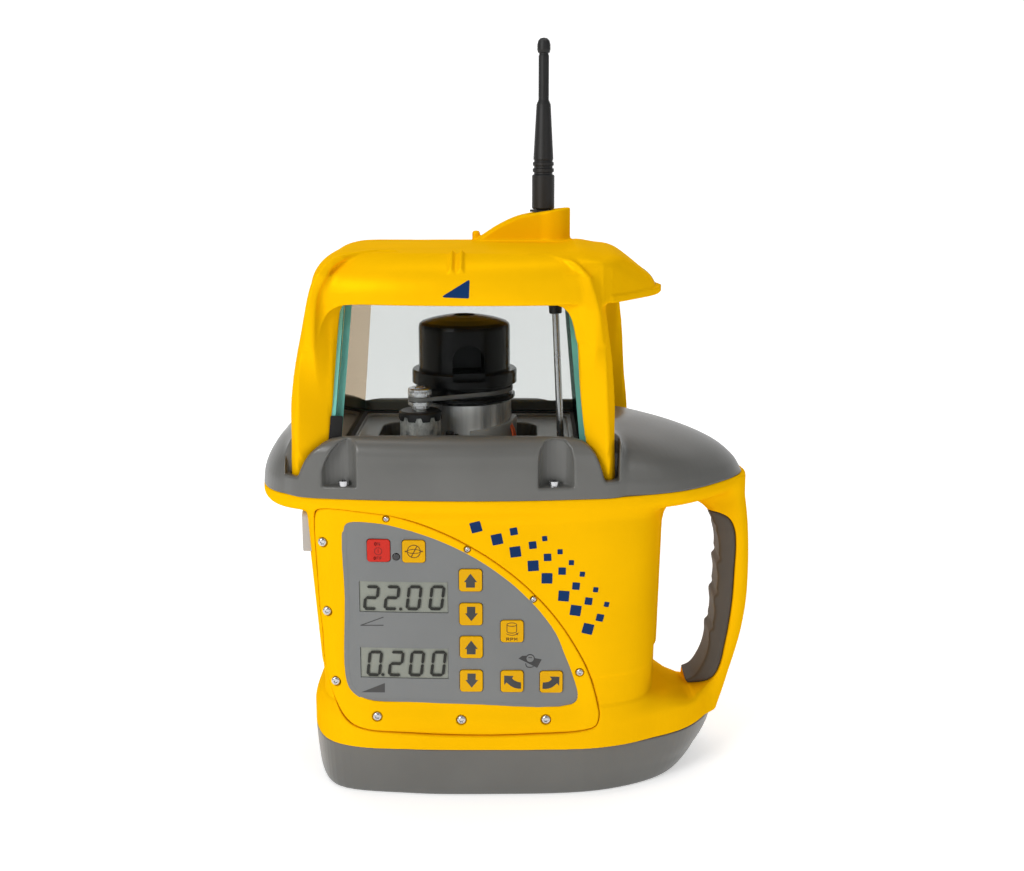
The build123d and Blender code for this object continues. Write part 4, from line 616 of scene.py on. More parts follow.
glass_front = pane_glass("pane_clear", (0.882, 0.89, 0.886, 1), (0.9, 0.95, 0.95, 1), 0.004, 0.4)
# the left side pane's beige see-through tint and brown gloss colour are painted reflection of warm surroundings, not
# the glass's own colour
glass_side_painted_reflection = pane_glass("pane_side_painted_reflection", (0.86, 0.84, 0.79, 1), (0.68, 0.54, 0.4, 1), 0.03, 0.96)
# the near-black gloss colour turns the right pane dark toward grazing views: painted dark reflection, not a dark glass
glass_painted_dark_reflection = pane_glass("pane_painted_dark_reflection", (0.86, 0.86, 0.83, 1), (0.07, 0.1, 0.085, 1), 0.03, 0.96)
glass_edge = moulded("pane_edge", srgb(104, 186, 174), srgb(134, 208, 196), 0.2, 0.03, 700.0, 0.6)
prism_mat = moulded("prism_glass", srgb(8, 9, 11), srgb(13, 15, 18), 0.35, 0.01, 500.0, 0.12)
lcd_mat = moulded("display_face", srgb(131, 134, 125), srgb(139, 142, 132), 0.3, 0.02, 2500.0, 0.35)
led_mat = moulded("lamp_lens", srgb(12, 10, 10), srgb(24, 20, 20), 0.16, 0.02, 1500.0, 0.6, 0.4)
plate_mat = moulded("side_plate", srgb(168, 168, 168), srgb(184, 184, 184), 0.4, 0.1, 1600.0)
copper = moulded("wire_orange", srgb(206, 78, 30), srgb(226, 98, 44), 0.4, 0.04, 900.0)
galv = streaked("bright_tube", srgb(150, 151, 152), srgb(246, 246, 246), 0.26, 0.32, (1.0, 1.0, 0.03), 130.0)
can_mat = streaked("motor_can", srgb(128, 129, 128), srgb(220, 220, 216), 0.32, 0.3, (1.0, 1.0, 0.6), 260.0)
cast_part = moulded("rough_casting", srgb(104, 105, 105), srgb(150, 150, 148), 0.45, 0.8, 420.0, 0.5)

# ------------------------------------------------------------------ outlines used more than once
BEZEL_S = smooth_loop(BEZEL, 5)
MEMBRANE_S = smooth_loop(MEMBRANE, 5)
FLANGE_S = both_halves(FLANGE)
TUB_S = both_halves(TUB)


def core_field(g):
    return stack(g, [(32.0, both_halves(core_half(32.0))), (190.5, both_halves(core_half(190.5)))])


def inset_poly(poly, r):
    """Convex polygon moved inward by r."""
    p = np.asarray(poly, float)
    if 0.5 * np.sum(p[:, 0] * np.roll(p[:, 1], -1) - np.roll(p[:, 0], -1) * p[:, 1]) < 0:
        p = p[::-1]
    lines = []
    for a, b in zip(p, np.roll(p, -1, axis=0)):
        d = (b - a) / np.linalg.norm(b - a)
        n = np.array([-d[1], d[0]])
        lines.append((n, n @ a + r))
    out = []
    for (n0, c0), (n1, c1) in zip(lines, lines[1:] + lines[:1]):
        out.append(np.linalg.solve(np.array([n0, n1]), np.array([c0, c1])))
    return np.array(out)


def box_field(g, x0, x1, y0, y1, z0, z1):
    return np.maximum(np.maximum(np.maximum(x0 - g.X, g.X - x1), np.maximum(y0 - g.Y, g.Y - y1)),
                      np.maximum(z0 - g.Z, g.Z - z1))


# ------------------------------------------------------------------ housing
g = Grid((-128, -87, 28), (187, 87, 196), 0.8)
core = core_field(g)
ends = np.maximum(Z_BASE - g.Z, g.Z - Z_SEAM)
F = join(core, slab_z(g, plan(g, TUB_S), 10.0, 58.6, 12.0), 9.0)
F = join(F, slab_z(g, plan(g, FLANGE_S), 180.2, 230.0, 7.0), 7.0)
handle_loop = np.concatenate([[(105, 205), (177.0, 205)], smooth_line(HANDLE_OUT), [(160, 20), (105, 20)]])
F = join(F, slab_y(g, elevation(g, handle_loop), -HANDLE_HALF, HANDLE_HALF, 7.0), 9.0)
hole = np.concatenate([smooth_line(HANDLE_IN[:-1]), [(129.4, 169.4), (127.4, 165.6), (126.2, 160.0), (122.5, 68.0)]])
F = cut(F, np.maximum(elevation(g, hole), 2.0 - core), 7.0)
# floor of the hand opening, falling towards the back
sill = np.interp(g.X, [119.0, 128.0, 136.0, 143.0], [62.0, 58.5, 54.5, 51.8]) - np.interp(g.Y, [-20.0, 17.0, 45.0], [0.0, 7.0, 16.0])
side = np.maximum(2.0 - core, g.X - np.where(g.Y > 18.0, 170.0, 144.0))
F = cut(F, np.maximum(np.maximum(sill - g.Z, g.Z - 75.0), side), 5.0)
F = cut(F, core + WALL, 0.6)
F = meet(F, ends, 0.7)
bez = elevation(g, BEZEL_S)
F = cut(F, np.maximum(np.maximum(bez - 0.15, -(core + 2.2)), g.Y + 50.0), 0.4)
F = cut(F, np.maximum(bez + 5.0, g.Y + 50.0), 0.4)
seat = np.concatenate([smooth_line(GRIP_LINE), [(142.9, 51.2), (142.9, 62.0), (150.0, 72.0), (150.0, 158.0)]])
F = cut(F, elevation(g, seat), 0.8)
F = cut(F, box_field(g, -70, 70, 50, 120, 44, 118), 0.8)
for x0 in (-52.0, 52.0):
    knuckle = np.maximum(np.sqrt((g.Y - 80.2) ** 2 + (g.Z - 42.0) ** 2) - 3.2, np.abs(g.X - x0) - 6.0)
    web = box_field(g, x0 - 6.0, x0 + 6.0, 70.0, 80.6, 39.0, 43.6)
    F = join(F, np.minimum(knuckle, web), 0.8)
F = cut(F, box_field(g, -130, -85, -53.0, -19.0, 150.0, 176.0), 0.8)
F = np.maximum(F, g.X - 182.3)
F_HOUSE, G_HOUSE = F, g
housing = shell("housing_shell", F, g, yellow, "housing", 0.22)
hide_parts("main_housing")

# ------------------------------------------------------------------ keypad bezel and its screws
g = Grid((-91, -81, 38), (88, -46, 187), 0.45)
core = core_field(g)
bez, mem = elevation(g, BEZEL_S), elevation(g, MEMBRANE_S)
s = np.clip(mem / 11.5, 0, 1)
dep = 0.24 - 1.16 * (s * s * (3 - 2 * s))
skin = core + dep
F = meet(skin, bez + 0.32, 1.0)
F = meet(F, -(mem + 0.5), 0.5)
F = np.maximum(F, np.maximum(-(core + 2.1), g.Y + 50.4))


def ray_y(field, g, x, z, y0, y1):
    """Y where a line along Y at (x, z) first meets the field from the front."""
    ys = np.linspace(y0, y1, 400)
    v = field_at(field, g, np.stack([np.full(400, x), ys, np.full(400, z)], 1))[0]
    i = int(np.argmax(v < 0))
    return ys[i - 1] + (ys[i] - ys[i - 1]) * v[i - 1] / (v[i - 1] - v[i])


seats = []
for x, z, r in SCREWS:
    y = ray_y(skin, g, x, z, -80.9, -57.0)
    seats.append(y + 1.5)
    F = cut(F, np.maximum(cyl_y(g, x, z, r + 0.45), g.Y - (y + 1.5)), 0.35)
bezel = shell("panel_bezel", F, g, yellow, "housing", 0.3)
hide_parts("keypad_bezel")


class Build:
    """Collects closed solids into one mesh."""

    def __init__(self):
        self.v, self.f = [], []

    def rings(self, rings, cap_lo=True, cap_hi=True):
        """Skin over a list of equal-length rings of points."""
        base = len(self.v)
        n = len(rings[0])
        for r in rings:
            self.v.extend([tuple(p) for p in r])
        for k in range(len(rings) - 1):
            for i in range(n):
                j = (i + 1) % n
                self.f.append((base + k * n + i, base + k * n + j, base + (k + 1) * n + j, base + (k + 1) * n + i))
        if cap_lo:
            self.f.append(tuple(base + i for i in reversed(range(n))))
        if cap_hi:
            self.f.append(tuple(base + (len(rings) - 1) * n + i for i in range(n)))

    def patch(self, outline, centre, place, lift=0.1, sink=0.2, rings=1):
        """Thin solid over a star-shaped outline; place(u, v, h) gives the point at height h over the surface."""
        o = np.asarray(outline, float)
        if 0.5 * np.sum(o[:, 0] * np.roll(o[:, 1], -1) - np.roll(o[:, 0], -1) * o[:, 1]) < 0:
            o = o[::-1]
        c = np.asarray(centre, float)
        n = len(o)
        base = len(self.v)
        for h in (lift, -sink):
            self.v.append(tuple(place(c[0], c[1], h)))
            for k in range(1, rings + 1):
                for p in c + (o - c) * (k / rings):
                    self.v.append(tuple(place(p[0], p[1], h)))
        half = 1 + rings * n
        for top in (True, False):
            b = base if top else base + half
            for i in range(n):
                j = (i + 1) % n
                t = (b, b + 1 + i, b + 1 + j)
                self.f.append(t if top else t[::-1])
                for k in range(rings - 1):
                    q = (b + 1 + k * n + i, b + 1 + (k + 1) * n + i, b + 1 + (k + 1) * n + j, b + 1 + k * n + j)
                    self.f.append(q if top else q[::-1])
        e = 1 + (rings - 1) * n
        for i in range(n):
            j = (i + 1) % n
            self.f.append((base + e + i, base + half + e + i, base + half + e + j, base + e + j))

    def strip(self, left, right, place, lift=0.1, sink=0.2):
        """Thin solid between two lines of points."""
        n = len(left)
        base = len(self.v)
        for h in (lift, -sink):
            for l, r in zip(left, right):
                self.v.append(tuple(place(l[0], l[1], h)))
                self.v.append(tuple(place(r[0], r[1], h)))
        m = 2 * n
        for i in range(n - 1):
            a = base + 2 * i
            self.f.append((a, a + 1, a + 3, a + 2))
            self.f.append((a + m, a + m + 2, a + m + 3, a + m + 1))
            self.f.append((a, a + 2, a + 2 + m, a + m))
            self.f.append((a + 1, a + 1 + m, a + 3 + m, a + 3))
        a, z = base, base + 2 * (n - 1)
        self.f.append((a, a + m, a + m + 1, a + 1))
        self.f.append((z, z + 1, z + m + 1, z + m))

    def poly(self, outline, place, lift=0.1, sink=0.2):
        """Thin flat solid with the given outline."""
        base, n = len(self.v), len(outline)
        for h in (lift, -sink):
            for p in outline:
                self.v.append(tuple(place(p[0], p[1], h)))
        self.f.append(tuple(range(base, base + n)))
        self.f.append(tuple(reversed(range(base + n, base + 2 * n))))
        for i in range(n):
            j = (i + 1) % n
            self.f.append((base + i, base + n + i, base + n + j, base + j))

    def band(self, outer, inner, place, lift=0.1, sink=0.2):
        """Thin closed ring between two outlines."""
        base, n = len(self.v), len(outer)
        for line_, h in ((outer, lift), (inner, lift), (inner, -sink), (outer, -sink)):
            for p in line_:
                self.v.append(tuple(place(p[0], p[1], h)))
        for k in range(4):
            for i in range(n):
                j = (i + 1) % n
                a, c = base + k * n, base + (k + 1) % 4 * n
                self.f.append((a + i, a + j, c + j, c + i))

    def loop_rings(self, rings):
        """Skin over rings whose last one joins the first, as round a hole."""
        base, n, m = len(self.v), len(rings[0]), len(rings)
        for r in rings:
            self.v.extend([tuple(p) for p in r])
        for k in range(m):
            a, c = base + k * n, base + (k + 1) % m * n
            for i in range(n):
                j = (i + 1) % n
                self.f.append((a + i, a + j, c + j, c + i))

    def stroke(self, pts, width, place, lift=0.1, sink=0.2):
        p = np.asarray(pts, float)
        d = np.gradient(p, axis=0)
        d /= np.maximum(np.linalg.norm(d, axis=1, keepdims=True), 1e-9)
        n = np.stack([-d[:, 1], d[:, 0]], 1) * (width / 2)
        self.strip(p + n, p - n, place, lift, sink)

    def done(self, name, mats, body, smooth=False):
        ob = new_object(name, self.v, self.f, mats, body, smooth)
        me = ob.data
        bm = bmesh.new()
        bm.from_mesh(me)
        bmesh.ops.recalc_face_normals(bm, faces=bm.faces)
        bm.to_mesh(me)
        bm.free()
        return ob


def circle(r, n=32, lobes=0, depth=0.0):
    a = np.linspace(0, 2 * math.pi, n, endpoint=False)
    rr = r * (1 + depth * np.cos(lobes * a)) if lobes else np.full(n, r)
    return np.stack([rr * np.cos(a), rr * np.sin(a)], 1)


def soften(ob, angle=30):
    """Smooth shading that keeps edges sharper than the angle."""
    me = ob.data
    me.polygons.foreach_set("use_smooth", [True] * len(me.polygons))
    me.set_sharp_from_angle(angle=math.radians(angle))


b = Build()
for (x, z, r), y in zip(SCREWS, seats):
    rows = []
    for rad, dy, lob in ((r, 0.0, 0), (r, -0.9, 0), (r * 0.93, -1.35, 0), (r * 0.76, -1.75, 0), (r * 0.56, -1.95, 0),
                         (r * 0.47, -1.98, 6), (r * 0.43, -1.0, 6)):
        c = circle(rad, 36, lob, 0.14 if lob else 0)
        rows.append([(x + p[0], y + dy, z + p[1]) for p in c])
    b.rings(rows)
screw_heads = b.done("panel_screws", steel, "housing", True)
soften(screw_heads, 40)
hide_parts("bezel_screws")

# ------------------------------------------------------------------ rubber grip
g = Grid((140, -20, 46), (177, 20, 171), 0.6)
loop = np.concatenate([smooth_line(SCALLOPS), smooth_line(GRIP_LINE)])
F = slab_y(g, elevation(g, loop), -17.2, 17.2, 3.4)
inner = elevation(g, hole)
F = meet(F, np.abs(g.Y) - 17.2 + 0.32 * np.clip(9.0 - inner, 0, 9), 2.0)
for x, z in ((159.6, 88.5), (161.6, 112.0), (162.6, 134.5), (159.4, 155.5)):
    groove = np.sqrt((g.X - (x - 1.2)) ** 2 + (g.Z - z) ** 2) - 1.9
    F = cut(F, groove, 2.2)
grip = shell("grip_pad", F, g, grip_mat, "housing", 0.5)
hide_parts("handle_grip")

# ------------------------------------------------------------------ base cover
g = Grid((-100, -80, -2), (166, 80, 35), 0.7)


def tub_half(z):
    wl = np.interp(z, [0, 0.5, 1, 2, 4, 8, 12, 20, 32], [0, 0.24, 0.35, 0.48, 0.6, 0.7, 0.76, 0.88, 1.0])
    wr = np.interp(z, [0, 1, 2, 4, 8, 12, 18, 24, 32], [0, 0.12, 0.2, 0.3, 0.45, 0.56, 0.75, 0.88, 1.0])
    pts = []
    for (bx, by), (tx, ty) in zip(SOLE, TUB):
        sh = min(1.0, max(0.0, (tx - 40.0) / 100.0))
        w = wl * (1 - sh) + wr * sh
        pts.append((bx + w * (tx - bx), by + w * (ty - by)))
    return pts


tub = stack(g, [(z, both_halves(tub_half(z))) for z in (0.0, 0.5, 1.0, 2.0, 4.0, 8.0, 12.0, 18.0, 24.0, 32.0)])
F = meet(tub, np.maximum(-g.Z, g.Z - 32.0), 1.2)
F = cut(F, np.maximum(tub + 4.5, 5.0 - g.Z), 1.0)
F = join(F, np.maximum(cyl_z(g, 0, 0, 22.0), np.maximum(3.0 - g.Z, g.Z - 23.0)), 1.0)
F = cut(F, np.maximum(cyl_z(g, 0, 0, 18.15), g.Z - 4.0), 0.3)
F = cut(F, cyl_z(g, 0, 0, 13.1), 0.3)
for x, y in ((-62, -40), (-62, 40), (10, -52), (10, 52), (82, -36), (82, 36)):
    F = join(F, np.maximum(cyl_z(g, x, y, 5.0), np.maximum(3.0 - g.Z, g.Z - 31.8)), 1.0)
    F = cut(F, np.maximum(cyl_z(g, x, y, 3.6), g.Z - 5.0), 0.3)
    F = cut(F, cyl_z(g, x, y, 1.7), 0.3)
base = shell("base_tub", F, g, gray, "housing", 0.3)
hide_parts("base_cover")

# ------------------------------------------------------------------ top cover
g = Grid((-127, -87, 188), (180, 87, 231), 0.7)


def dome_loop(left, right, depth):
    pts = []
    for x, y in FLANGE:
        pts.append((x * (left / 124.5 if x < 0 else right / 177.5), y * depth / 82.0))
    return both_halves(pts)


def legs_field(g, grow, z_shift=0.0):
    out = []
    for sx, sy in LEGS:
        plans = LEG_LEFT if sx < 0 else (LEG_RIGHT if sy < 0 else LEG_REAR)
        levels = [(z + z_shift, inset_poly([(sx * x, sy * y) for x, y in lv], 1.5)) for z, lv in zip(LEG_Z, plans)]
        out.append(stack(g, levels) - 1.5 - grow)
    return out


dome = stack(g, [(z, dome_loop(l, r, d)) for z, l, r, d in DOME])
F = join(meet(dome, g.Z - 228.0, 5.0), slab_z(g, plan(g, both_halves(HUMP)), 180.0, 227.9, 11.5), 4.0)
# the rim behind the panes stands lower than the one in front
F = meet(F, g.Z - np.interp(g.Y, [-10.0, 52.0], [229.0, 223.2]), 3.0)
# notches where the front and rear legs come down, rounded shoulders of the raised middle
notch_left = [(-60.0, 240.0), (-66.8, 228.6), (-75.6, 225.8), (-81.5, 222.8), (-86.3, 219.0), (-89.4, 215.8), (-91.8, 212.2),
              (-94.0, 207.8), (-95.4, 204.2), (-96.6, 202.4), (-104.8, 202.4), (-104.8, 240.0)]
notch_right = [(52.0, 240.0), (58.8, 228.6), (66.0, 227.2), (71.6, 225.3), (76.4, 221.8), (79.9, 217.2), (82.4, 211.6),
               (84.2, 206.0), (85.1, 202.4), (86.4, 200.6), (94.0, 200.6), (94.6, 240.0)]
for loop, sy in ((notch_left, -1), (notch_right, -1), (notch_left, 1)):
    F = cut(F, np.maximum(elevation(g, loop), 59.0 - sy * g.Y), 1.6)
ARCH = [(-82.9, 190.0), (-82.8, 199.6), (-81.6, 205.7), (-79.2, 212.6), (-75.7, 219.0), (-71.6, 223.4), (-66.8, 225.6), (-62.9, 225.6),
        (-60.9, 223.4), (-60.0, 218.0), (-60.0, 190.0)]
ARCH_RIGHT = [(46.0, 190.0), (46.0, 214.0), (47.4, 220.6), (50.4, 224.6), (55.0, 225.8), (61.6, 225.2), (65.2, 221.0), (67.0, 214.0),
              (68.2, 206.0), (68.4, 190.0)]
pockets = None
for px, sy in POCKETS:
    p = slab_z(g, plan(g, rounded_rect(px, sy * 89.3, 21.8, 37.0, 10.4)), 198.0, 260.0, 1.2)
    p = meet(p, elevation(g, ARCH if px < 0 else ARCH_RIGHT), 0.8)
    pockets = p if pockets is None else np.minimum(pockets, p)
F = cut(F, pockets, 1.5)
well = slab_z(g, plan(g, rounded_rect(0, 0, 154, 138.6, 5.0)), Z_DECK, 260.0, 1.5)
F = cut(F, well, 2.2)
F = cut(F, np.maximum(plan(g, rounded_rect(-1.0, -3.0, 134, 122, 8.0)), 213.4 - g.Z), 0.8)
opening = plan(g, rounded_rect(-4.5, -11.0, 101, 102, 14))
F = cut(F, opening, 0.8)
slots = legs_field(g, 0.5)
rim = plan(g, both_halves(HUMP))
for q in slots:
    F = cut(F, np.maximum(np.maximum(q, 194.6 - g.Z), rim + 0.9), 0.4)
inside = stack(g, [(z, dome_loop(l, r, d)) for z, l, r, d in DOME_IN])
inside = np.maximum(inside, g.Z - 209.5)
keep = np.minimum(pockets, np.maximum(opening, 205.0 - g.Z))
for q in slots:
    keep = np.minimum(keep, q)
inside = np.maximum(inside, -(keep - 3.0))
inside = np.maximum(inside, g.Z - 197.0 - 12.0 * (np.abs(g.X + 5.0) < 62.0))
F = cut(F, inside, 0.8)
F = meet(F, Z_SEAM - g.Z, 0.6)
cover = shell("top_shell", F, g, gray, "housing", 0.3)
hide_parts("top_cover")
F_COVER, G_COVER = F, g

# ------------------------------------------------------------------ canopy
g = Grid((-108, -93, 192), (127, 93, 356), 0.8)
hd = plan(g, both_halves(HOOD))
hood = slab_z(g, hd, 240.0, 334.3, 24.0)
back = np.clip(g.Y - 5.0, 0.0, 100.0)
fall = 0.028 * back + 0.0008 * back * np.clip(g.X - 48.0, 0.0, 40.0)
hood = meet(hood, g.Z - 334.3 + fall, 2.0)
BEAK_S = smooth_loop(BEAK, 4)
beak = meet(elevation(g, BEAK_S), plan(g, smooth_loop(BEAK_PLAN, 4)), 9.0)
beak = meet(beak, g.Z - 335.2 + 0.0009 * g.Y ** 2, 5.0)
F = meet(join(hood, beak, 9.0), 305.6 - g.Z, 2.0)
# arched ribs over both shoulders, running down into the legs
RIB_LEFT = [(-91.0, 280.0), (-89.8, 290.0), (-88.0, 299.4), (-86.0, 308.0), (-84.0, 315.6), (-81.4, 321.2), (-79.0, 325.0), (-76.0, 328.6), (-72.6, 331.0),
            (-67.0, 333.0), (-58.0, 334.2), (-46.0, 334.6), (-38.0, 334.2)]
RIB_LEFT_IN = [(-52.0, 333.0), (-62.5, 330.9), (-68.4, 328.6), (-73.4, 324.4), (-76.6, 320.2), (-78.9, 315.6), (-81.0, 309.5),
               (-82.6, 298.0), (-85.0, 280.0)]
RIB_RIGHT = [(84.4, 282.0), (82.8, 292.0), (81.0, 300.8), (78.6, 309.2), (76.3, 316.6), (74.6, 321.0), (72.2, 325.0), (69.0, 328.2), (65.0, 330.6),
             (58.6, 332.0), (51.0, 332.4), (44.0, 332.4)]
RIB_RIGHT_IN = [(46.0, 330.4), (52.0, 329.6), (57.6, 324.2), (62.4, 318.4), (66.4, 312.6), (68.6, 306.0), (70.4, 300.0), (74.0, 282.0)]
rib_face = np.interp(g.X, [-84, -78, -72, -66, -60, -54, -48, 42, 48, 54, 60, 66, 74, 80],
                     [-79.5, -78.5, -76, -72.4, -67, -60, -52, -56, -63, -69, -73.5, -77, -79.5, -80])
rib_face = rib_face + np.interp(g.Z, [281.0, 303.0], [6.0, 0.0])
for outer, inner in ((RIB_LEFT, RIB_LEFT_IN), (RIB_RIGHT, RIB_RIGHT_IN)):
    loop = np.concatenate([smooth_line(outer), smooth_line(inner)])
    e = elevation(g, loop) + np.interp(g.Z, [279.0, 303.0], [3.0, 0.0])
    near = 50.0 + np.interp(g.Z, [280.0, 312.0], [18.0, 0.0])
    rib = meet(meet(e, rib_face - g.Y, 1.6), g.Y + near, 1.6)
    F = join(F, rib, 2.2)
    F = join(F, np.maximum(slab_y(g, meet(e, g.Z - 331.6, 3.0), 50.0, 78.0, 1.6), near - g.Y), 3.0)
hollow = np.maximum(slab_z(g, hd + 4.6, 240.0, 330.6, 22.0), g.Z - 330.6 + fall)
F = cut(F, np.maximum(hollow, 300.0 - g.Z), 0.8)
# rounded upper corners of the front and rear openings
for loop in ([(-96, 312), (-56, 312), (-58.0, 306.0), (-63.3, 305.6), (-67.9, 304.6), (-71.4, 303.0), (-74.9, 300.8), (-77.9, 298.0), (-80.9, 294.5), (-83.0, 291.0), (-96, 291.0)],
             [(50, 312), (90, 312), (84, 286), (69.6, 286.0), (68.0, 291.1), (65.8, 296.6), (63.4, 300.6), (60.2, 303.6), (56.6, 305.1), (51, 305.6)]):
    e = np.maximum(elevation(g, loop), plan(g, both_halves(HOOD)) + 0.6)
    for sy in (-1, 1):
        drop = [5.4, 1.6] if sy < 0 else [9.0, 3.0]
        face = 79.0 - (np.interp(g.Z, [284.0, 306.0], drop) if loop[0][0] > 0 or sy > 0 else 0.0)
        web = np.maximum(np.maximum(e, sy * g.Y - face), 66.0 - sy * g.Y)
        F = join(F, web, 1.2)
F = cut(F, np.maximum(elevation(g, BEAK_IN) + 3.0, plan(g, smooth_loop(BEAK_PLAN, 4)) + 11.0), 1.0)
# lip round the lower edge of the beak
lip = np.maximum(np.maximum(np.abs(plan(g, smooth_loop(BEAK_PLAN, 4)) + 1.4) - 2.0, np.abs(g.Z - 307.6) - 2.0), 88.0 - g.X)
F = join(F, lip, 1.0)
for q in legs_field(g, 0.0):
    leg = meet(q, np.maximum(196.0 - g.Z, g.Z - 320.0), 1.0)
    F = join(F, leg, 6.0)
# grooves for the panes
for z0, z1, lo, hi in ((216.0, 312.0, (-75.4, 75.4, -68.4, -64.4), (-66.9, 66.9, -59.8, -55.8)),
                       (216.0, 312.0, (-75.4, 75.4, 64.4, 68.4), (-66.9, 66.9, 55.8, 59.8)),
                       (216.0, 312.0, (-75.4, -71.4, -64.2, 64.2), (-66.8, -62.8, -55.6, 55.6)),
                       (216.0, 312.0, (71.4, 75.4, -64.2, 64.2), (62.8, 66.8, -55.6, 55.6))):
    t = (g.Z - z0) / (z1 - z0)
    e = [a + (b2 - a) * t for a, b2 in zip(lo, hi)]
    pane = np.maximum(np.maximum(e[0] - g.X, g.X - e[1]), np.maximum(e[2] - g.Y, g.Y - e[3]))
    pane = np.maximum(pane, np.maximum(z0 - g.Z, g.Z - z1)) - 0.35
    F = cut(F, pane, 0.3)
# antenna tower with its ramp
tower = slab_z(g, cyl_z(g, 56.0, ANT_Y, 11.6), 300.0, 356.0, 1.6)
ramp_loop = np.concatenate([[(6.0, 326.0), (7.6, 334.6)], smooth_line([(8.6, 335.8), (19.8, 343.0), (31.6, 348.6), (42.8, 351.6),
                            (52.0, 353.0)]), [(58.0, 354.0), (58.0, 326.0)]])
tower = join(tower, slab_y(g, elevation(g, ramp_loop), ANT_Y - 10.5, ANT_Y + 10.5, 2.2), 2.0)
tower = np.maximum(tower, 329.0 - g.Z)
tower = meet(tower, g.Z - 353.4 - 0.13 * (g.X - 56.0), 1.2)
F = join(F, tower, 2.4)
F = cut(F, np.maximum(cyl_z(g, ANT_X, ANT_Y, 5.0), 340.4 - g.Z), 0.3)
# two sight ridges in front and the sight post behind
for x0 in (-3.8, 1.8):
    side = np.abs(g.X - x0) * 1.3 + np.clip((g.Y + 80.0) * 0.04, 0, 1)
    ridge = np.maximum(np.maximum(hood - 2.0, hood + side - 2.6), np.maximum(np.abs(g.Y + 73.0) - 11.0, 318.0 - g.Z))
    F = join(F, ridge, 0.6)
F = join(F, slab_z(g, cyl_z(g, 6.0, 52.0, 2.6), 325.0, 339.4, 1.6), 1.2)
canopy = shell("canopy_shell", F, g, yellow, "housing", 0.26)
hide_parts("canopy")
F_CANOPY, G_CANOPY = F, g


# ------------------------------------------------------------------ marks on the keypad
def on_film(depth):
    """Places marks on the gently bowed panel, the given depth behind its face."""
    return lambda u, v, h: (u, front_y(u) + depth - h, v)


def on_key(key):
    """Places marks on the flat face of a key, measured from the middle of the key."""
    kx, kz = KEYS[key]
    y = min(v.co.y for v in NODES[key].data.vertices) / MM
    return lambda u, v, h: (kx + u, y - h, kz + v)


def line(b, p, q, width, place, lift=0.06, sink=0.12, ext=0.0):
    """Straight stroke from p to q."""
    p, q = np.array(p, float), np.array(q, float)
    d = (q - p) / np.linalg.norm(q - p)
    b.stroke([p - d * ext, (p + q) / 2, q + d * ext], width, place, lift, sink)


def ring(b, cx, cz, rx, rz, width, place, a0=0.0, a1=360.0, n=33, lift=0.06, sink=0.12):
    """Elliptic stroke."""
    a = np.radians(np.linspace(a0, a1, n))
    inner = np.stack([cx + (rx - width / 2) * np.cos(a), cz + (rz - width / 2) * np.sin(a)], 1)
    outer = np.stack([cx + (rx + width / 2) * np.cos(a), cz + (rz + width / 2) * np.sin(a)], 1)
    if abs(a1 - a0) >= 359.9:
        b.band(outer[:-1], inner[:-1], place, lift, sink)
    else:
        b.strip(outer, inner, place, lift, sink)


LETTERS = {
    "O": [[(0.5 + 0.5 * math.cos(t), 0.5 + 0.5 * math.sin(t)) for t in np.linspace(0, 2 * math.pi, 17)]],
    "N": [[(0, 0), (0, 1)], [(0, 1), (1, 0)], [(1, 0), (1, 1)]],
    "F": [[(0, 0), (0, 1)], [(0, 1), (1, 1)], [(0, 0.54), (0.8, 0.54)]],
    "R": [[(0, 0), (0, 1)], [(0, 1), (0.75, 1)], [(0.75, 1), (1, 0.78)], [(1, 0.78), (0.75, 0.52)], [(0.75, 0.52), (0, 0.52)],
          [(0.5, 0.52), (1, 0)]],
    "P": [[(0, 0), (0, 1)], [(0, 1), (0.75, 1)], [(0.75, 1), (1, 0.76)], [(1, 0.76), (0.75, 0.48)], [(0.75, 0.48), (0, 0.48)]],
    "M": [[(0, 0), (0, 1)], [(0, 1), (0.5, 0.4)], [(0.5, 0.4), (1, 1)], [(1, 1), (1, 0)]],
}


def word(b, text, cx, cz, width, height, stroke, place):
    """Small block letters centred on (cx, cz)."""
    cell = width / len(text)
    for i, ch in enumerate(text):
        x0, w = cx - width / 2 + i * cell + stroke / 2, cell * 0.8 - stroke
        for path in LETTERS[ch]:
            for p, q in zip(path[:-1], path[1:]):
                a = (x0 + p[0] * w, cz - height / 2 + stroke / 2 + p[1] * (height - stroke))
                c = (x0 + q[0] * w, cz - height / 2 + stroke / 2 + q[1] * (height - stroke))
                line(b, a, c, stroke, place, ext=stroke * 0.3)


SEGMENTS = {"0": "abcdef", "2": "abged"}


def digit(b, ch, x0, z0, w, h, slant, t, place):
    """One slanted seven-segment figure."""
    g0 = 0.12
    top, mid, low = h - t / 2, h / 2, t / 2
    bars = {"a": ((t / 2, top), (w - t / 2, top)), "g": ((t / 2, mid), (w - t / 2, mid)), "d": ((t / 2, low), (w - t / 2, low)),
            "f": ((t / 2, mid), (t / 2, top)), "b": ((w - t / 2, mid), (w - t / 2, top)),
            "e": ((t / 2, low), (t / 2, mid)), "c": ((w - t / 2, low), (w - t / 2, mid))}
    for s in SEGMENTS[ch]:
        (ax, az), (bx, bz) = bars[s]
        k = t / 2
        if s in "agd":
            pts = [(ax + g0, az), (ax + g0 + k, az + k), (bx - g0 - k, az + k), (bx - g0, az), (bx - g0 - k, az - k), (ax + g0 + k, az - k)]
        else:
            pts = [(ax, az + g0), (ax + k, az + g0 + k), (ax + k, bz - g0 - k), (ax, bz - g0), (ax - k, bz - g0 - k), (ax - k, az + g0 + k)]
        b.poly([(x0 + x + slant * z / h, z0 + z) for x, z in pts], place, 0.05, 0.1)


